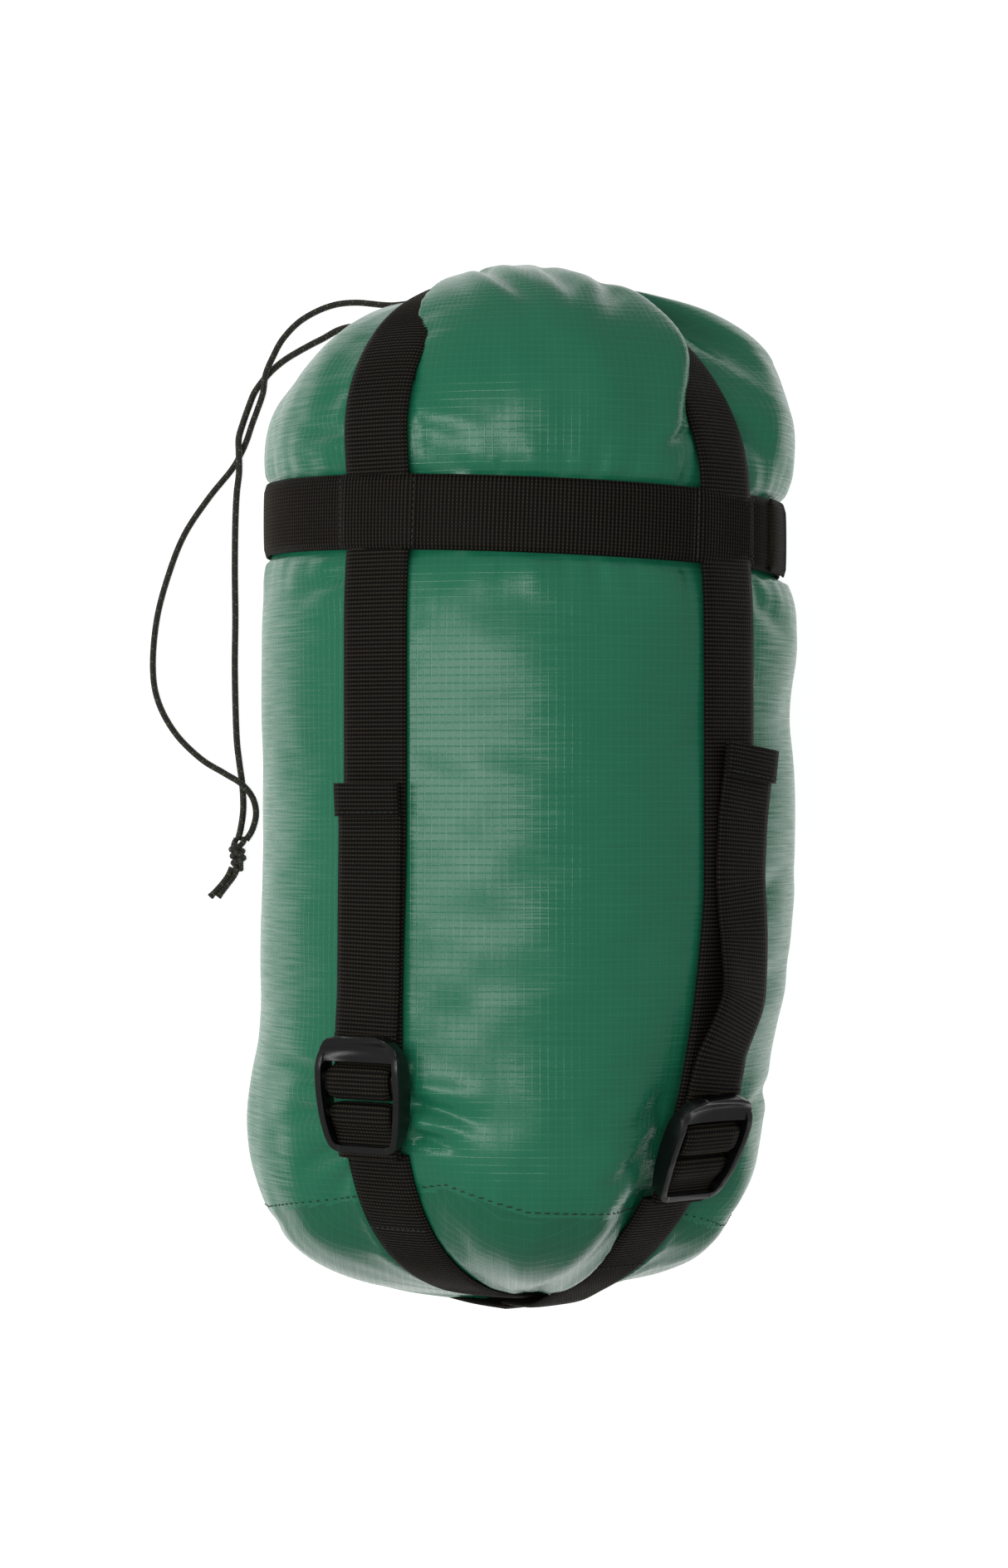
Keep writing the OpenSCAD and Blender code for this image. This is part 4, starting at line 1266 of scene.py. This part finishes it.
makeSeam()
for side in straps:
    makeLoopStitches(side)


def lockHalfWidth(y):  # plan of a lock, round at the tab and narrower at the rim
    knots = np.array([-19.5, -19.1, -17.8, -14, -8, 0, 7, 12, 15.5, 17.8, 19.1, 19.5])
    widths = np.array([9.5, 11.6, 13.6, 15.0, 16.2, 17.0, 17.0, 16.6, 15.3, 13.2, 10.8, 8.2])
    return np.interp(y / mm, knots, widths) * mm


def lockOutline(inset):
    y = 19.5 * mm * np.sin(np.linspace(-math.pi / 2, math.pi / 2, 46))
    right = np.stack([lockHalfWidth(y), y], axis=1)
    right = soften(right, 2)
    line = np.vstack([right, right[::-1] * (-1, 1)])
    way = unit(np.roll(line, -1, axis=0) - np.roll(line, 1, axis=0))
    return line + np.stack([-way[:, 1], way[:, 0]], axis=1) * inset


def railHeights(y):
    knots = np.array([-19.5, -17.2, -15, -8, 2, 9, 13, 16, 19.5]) * mm
    topZ = np.interp(y, knots, np.array([5.2, 5.6, 6.1, 6.9, 7.3, 7.3, 6.5, 5.0, 4.2]) * mm)
    lowZ = np.interp(y, knots, np.array([3.7, 3.7, 0.8, 0.4, 0.4, 0.5, 1.3, 2.4, 2.8]) * mm)
    return topZ, lowZ


def ringWall(outer, inner, heights):
    points, faces = [], []
    n = len(outer)
    for loopPoints, levels in ((outer, (1, 0)), (inner, (0, 1))):
        for level in levels:
            z = heights(loopPoints[:, 1])[0 if level else 1]
            points += [(p[0], p[1], h) for p, h in zip(loopPoints, z)]
    for wall in range(4):
        for k in range(n):
            m = (k + 1) % n
            a, b = wall * n, ((wall + 1) % 4) * n
            faces.append((a + k, b + k, b + m, a + m))
    return points, faces


def barSolid(outline, halfWidth):
    n = len(outline)
    points = [(x, p[0] * mm, p[1] * mm) for x in (-halfWidth, halfWidth) for p in outline]
    faces = [(k, (k + 1) % n, n + (k + 1) % n, n + k) for k in range(n)]
    return points, faces + [tuple(range(n - 1, -1, -1)), tuple(range(n, 2 * n))]


def tabSolid():  # scooped plate under the thumb
    columns, rows = 25, 12
    points, faces = [], []
    for level in (1, 0):
        for j in range(rows):
            y = 11.0 + 8.5 * (j / (rows - 1)) ** 0.8
            half = float(lockHalfWidth(y * mm)) / mm
            for i in range(columns):
                s = -1 + 2 * i / (columns - 1)
                scoop = 2.1 * (1 - abs(s) ** 2.2) * math.sin(math.pi * min(1, max(0, (y - 9.6) / 11.2))) ** 0.8
                lip = 1.1 * smooth((y - 15) / 3.5)
                edge = 0.5 * smooth((abs(s) - 0.86) / 0.14) + 0.6 * smooth((y - 18.6) / 0.9)
                top = 6.6 + lip - scoop - edge
                points.append((s * half * mm, y * mm, (top if level else 2.7) * mm))

    def at(level, i, j):
        return (0 if level else rows * columns) + j * columns + i
    for j in range(rows - 1):
        for i in range(columns - 1):
            faces.append((at(1, i, j), at(1, i + 1, j), at(1, i + 1, j + 1), at(1, i, j + 1)))
            faces.append((at(0, i, j), at(0, i, j + 1), at(0, i + 1, j + 1), at(0, i + 1, j)))
    for i in range(columns - 1):
        for j in (0, rows - 1):
            faces.append((at(1, i, j), at(0, i, j), at(0, i + 1, j), at(1, i + 1, j)))
    for j in range(rows - 1):
        for i in (0, columns - 1):
            faces.append((at(1, i, j), at(1, i, j + 1), at(0, i, j + 1), at(0, i, j)))
    return points, faces


def bevelled(name, solid, size):
    piece = faceOutwards(meshPiece(name, solid[0], solid[1], plasticFinish))
    rounding = piece.modifiers.new("round", "BEVEL")
    rounding.width = size
    rounding.segments = 3
    rounding.limit_method = "ANGLE"
    rounding.angle_limit = math.radians(35)
    applyModifiers(piece)
    return piece


def makeLock(side):
    rail = 2.3 * mm
    parts = [
        bevelled("rails", ringWall(lockOutline(0), lockOutline(rail), railHeights), 0.55 * mm),
        bevelled("fixedBar", barSolid([(-8.0, 2.0), (-5.0, 2.0), (-5.0, 4.2), (-8.0, 4.2)], 14.2 * mm),
                 0.5 * mm),
        bevelled("gripBar", barSolid([(0.6, 2.2), (7.4, 2.2), (7.4, 4.5), (6.4, 5.1), (1.6, 5.1), (0.6, 4.5)],
                                     14.8 * mm), 0.3 * mm),
        bevelled("tab", tabSolid(), 0.5 * mm),
    ]
    piece = joinPieces(f"{side}LadderLock", parts)
    piece.data.transform(lockPlace(side))
    fit(piece, "lock_plastic", f"{side}_lock", f"{side}_ladder_lock")


for side in straps:
    makeLock(side)
print("locks ready")


def makeHem():
    columns = 168
    route = softCurve([(17, 163), (12, 168), (8, 172.5), (7.4, 175.0), (9.4, 178.0), (11.3, 180.0),
                       (10.8, 181.2), (8.2, 180.4), (4.2, 177.5), (1.6, 174.5)], 8)
    line, run = resample(route * mm, 1.1 * mm)
    theta = np.linspace(0, wholeTurn, columns, endpoint=False)
    share = np.linspace(0, 1, len(line))
    points = []
    for (r, y), s in zip(line, share):
        deep = 2.1 * mm * smooth(s / 0.35) * (1 - 0.5 * smooth((s - 0.75) / 0.25)) * min(1, r / (7 * mm))
        fold = np.sin(theta * 15 + 1.3 * wavy(theta * 3 + 9, wavyTable(31, 6)))
        fold = fold + 0.35 * np.sin(theta * 31 + 1.0)
        rr = r + deep * fold * 0.62
        yy = y + 0.35 * deep * np.cos(theta * 15 + 0.6)
        points.append(np.stack([mouth["x"] + rr * np.cos(theta), yy, mouth["z"] + rr * np.sin(theta)], axis=1))
    points = np.stack(points).reshape(-1, 3)
    faces = gridFaces(len(line), columns)
    faces.append(tuple((len(line) - 1) * columns + k for k in range(columns)))
    uv = np.stack([np.tile(theta * 14 * mm, len(line)), np.repeat(run, columns)], axis=1)
    piece = meshPiece("mouthHem", points, [f[::-1] for f in faces], shadedBaseFinish, uv)
    fit(piece, "base_cloth", "root", "mouth_hem")


def makeSpring():  # the coil in the cord lock
    coil = dict(turns=4, radius=3.2 * mm, wire=0.22 * mm, keep=0.14)
    first, last = (np.array(corner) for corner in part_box("cord_lock_spring"))
    middle = (first + last) / 2
    spin = np.linspace(0, coil["turns"] * wholeTurn, 120)
    x = np.linspace(first[0] + coil["wire"], last[0] - coil["wire"], len(spin))
    path = np.stack([x, middle[1] + coil["radius"] * np.cos(spin), middle[2] + coil["radius"] * np.sin(spin)],
                    axis=1)
    piece = sweep("lockSpring", path, coil["wire"], steelFinish, 8)
    fit(piece, "spring_steel", "cord_lock", "cord_lock_spring")
    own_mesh(piece)
    return piece


makeHem()
springPiece = makeSpring()

for name, finish in (("hem_cord_loop", cordFinish), ("cord_lock_barrel", plasticFinish),
                     ("cord_lock_plunger", plasticFinish)):
    for slotIndex in range(len(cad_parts[name].material_slots)):
        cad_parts[name].material_slots[slotIndex].material = finish

def softLight(name, place, aim, size, power):
    lamp = bpy.data.lights.new(name, "AREA")
    lamp.shape = "RECTANGLE"
    lamp.size, lamp.size_y = size
    lamp.energy = power
    piece = addObject(name, lamp)
    piece.location = place
    piece.rotation_euler = (Vector(aim) - Vector(place)).to_track_quat("-Z", "Y").to_euler()


def makeStage():
    room = dict(size=3.0, drop=0.0002, glow=0.84, fadeFrom=0.36, fadeTo=0.44, sky=0.38)
    finish = plainMaterial("paleFloor", (0.62, 0.62, 0.62), (0.66, 0.66, 0.66), 0.8, size=3.0)
    tree = finish.node_tree
    shader = tree.nodes["Principled BSDF"]
    place = addNode(tree, "ShaderNodeTexCoord")
    reach = addNode(tree, "ShaderNodeVectorMath", operation="LENGTH")
    tree.links.new(place.outputs["Object"], reach.inputs[0])
    near = addNode(tree, "ShaderNodeMapRange", interpolation_type="SMOOTHSTEP",
                   inputs={"From Min": room["fadeFrom"], "From Max": room["fadeTo"], "To Min": 1.0, "To Max": 0.0})
    tree.links.new(reach.outputs["Value"], near.inputs["Value"])
    shine = addNode(tree, "ShaderNodeCombineColor")
    for channel in ("Red", "Green", "Blue"):
        tree.links.new(near.outputs["Result"], shine.inputs[channel])
    tree.links.new(shine.outputs["Color"], shader.inputs["Emission Color"])
    shader.inputs["Emission Strength"].default_value = room["glow"]
    size = room["size"]
    floor = meshPiece("floor", [(-size, -size, 0), (size, -size, 0), (size, size, 0), (-size, size, 0)],
                      [(0, 1, 2, 3)], finish, shade=False)
    floor.location.z = -room["drop"]
    world = bpy.data.worlds.new("softRoom")
    world.use_nodes = True
    world.node_tree.nodes["Background"].inputs[0].default_value = (1, 1, 1, 1)
    world.node_tree.nodes["Background"].inputs[1].default_value = room["sky"]
    bpy.context.scene.world = world
    softLight("leftStrip", (-0.70, 0.02, 1.25), (0, 0, 0.15), (0.26, 1.55), 7.6)


makeStage()
bpy.context.scene.view_settings.view_transform = "Standard"
